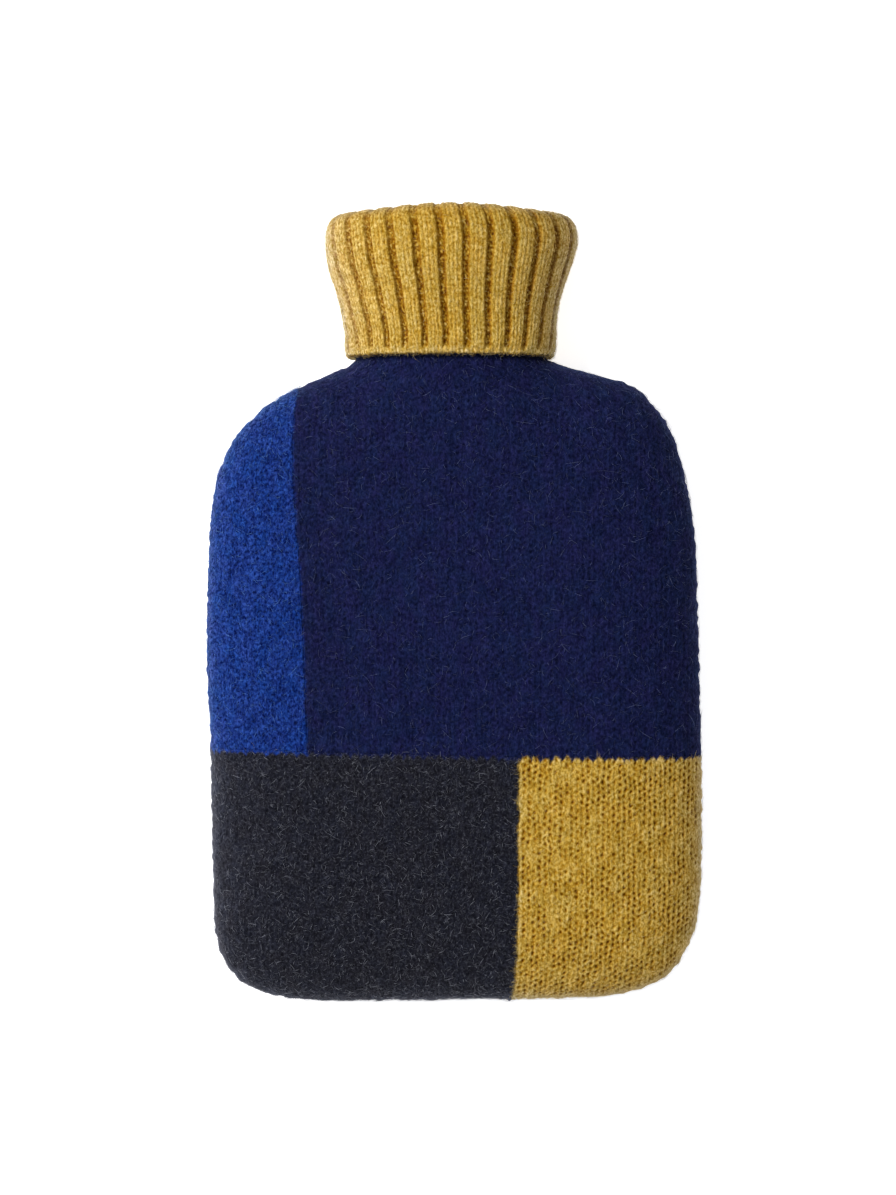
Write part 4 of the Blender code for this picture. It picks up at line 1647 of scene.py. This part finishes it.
# navy fuzz at the hem's edge, coloured from black to navy as painted shadow under the hem
hem_shadow_hairs = scatter_hairs(
    "navy_hairs_in_painted_hem_shadow", hem_shadow_patch, DARK_NAVY,
    Hairs(600, 0.0016, 0.00005, 0.0003, 0.20), 58, MOSTLY_DOWN)

# %% [markdown]
# ## What each piece is
#
# Every piece rides on the one body of the model and stands for its CAD node, which is hidden.
# The table also gives the size that each sheet of cloth was knitted to.

# %% Ride and replace
Sheet = namedtuple("Sheet", "cloth hairs yarn node flat area")
SHEETS = (
    Sheet(royal.piece, [royal_hairs], ROYAL, "front_panel", (0.046, 0.165), 0.0066),
    Sheet(navy.piece, [navy_hairs, hem_shadow_hairs], NAVY, "front_panel", (0.185, 0.192), 0.0300),
    Sheet(charcoal.piece, [charcoal_hairs], CHARCOAL, "front_panel", (0.142, 0.120), 0.0160),
    Sheet(mustard.piece, [mustard_hairs, side_hairs, top_hairs], MUSTARD,
          "front_panel", (0.088, 0.120), 0.0095),
    Sheet(back.piece, [back_hairs], NAVY, "back_panel", (0.236, 0.308), 0.0660),
    Sheet(collar, [collar_hairs, hem_hairs], MUSTARD, "collar", (0.262, 0.108), 0.0283),
)
for sheet in SHEETS:
    for piece in (sheet.cloth, *sheet.hairs):
        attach(piece, "root")
        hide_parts(sheet.node)
    under = "back_knitting" if sheet.node == "front_panel" else "floor"
print(len(SHEETS), "sheets of knitting declared")

# %% [markdown]
# ## Floor and light
#
# The cover lies on a plain white floor in a bright studio. One large soft light stands low to
# the upper left, and the room itself is white, so the shadows are faint. The floor glows a
# little, because a photographer's white ground is lit on its own until it is pure white.

# %% Floor and lights
FLOOR_REACH = 1.6
FLOOR_PLACE = -0.0003  # just below the cover, so that the two never share a place
FLOOR_COLOUR = (0.92, 0.92, 0.92, 1)
FLOOR_GLOW = 0.75
KEY_PLACE = (-0.90, 0.25, 0.95)
KEY_SIZE = 0.6
KEY_POWER = 18
ROOM_BRIGHTNESS = 0.42
WHITE = (1, 1, 1, 1)


def add_floor():
    mesh = bpy.data.meshes.new("floor")
    reach = FLOOR_REACH
    corners = [(-reach, -reach, 0), (reach, -reach, 0), (reach, reach, 0), (-reach, reach, 0)]
    mesh.from_pydata(corners, [], [(0, 1, 2, 3)])
    material = bpy.data.materials.new("white floor")
    material.use_nodes = True
    shader = material.node_tree.nodes["Principled BSDF"]
    shader.inputs["Base Color"].default_value = FLOOR_COLOUR
    shader.inputs["Roughness"].default_value = 0.9
    shader.inputs["Specular IOR Level"].default_value = 0.1
    shader.inputs["Emission Color"].default_value = WHITE
    shader.inputs["Emission Strength"].default_value = FLOOR_GLOW
    mesh.materials.append(material)
    floor = bpy.data.objects.new("floor", mesh)
    floor.location.z = FLOOR_PLACE
    bpy.context.scene.collection.objects.link(floor)


def add_softbox(name, place, size, power):
    data = bpy.data.lights.new(name, "AREA")
    data.size = size
    data.energy = power
    light = bpy.data.objects.new(name, data)
    light.location = place
    light.rotation_mode = "QUATERNION"
    light.rotation_quaternion = (-Vector(place)).to_track_quat("-Z", "Y")
    bpy.context.scene.collection.objects.link(light)


def light_room(brightness):
    world = bpy.data.worlds.new("room")
    world.use_nodes = True
    background = world.node_tree.nodes["Background"]
    background.inputs["Color"].default_value = WHITE
    background.inputs["Strength"].default_value = brightness
    bpy.context.scene.world = world
    bpy.context.scene.view_settings.view_transform = "Standard"


add_floor()
add_softbox("key", KEY_PLACE, KEY_SIZE, KEY_POWER)
light_room(ROOM_BRIGHTNESS)
print("lights:", [thing.name for thing in bpy.data.objects if thing.type == "LIGHT"])
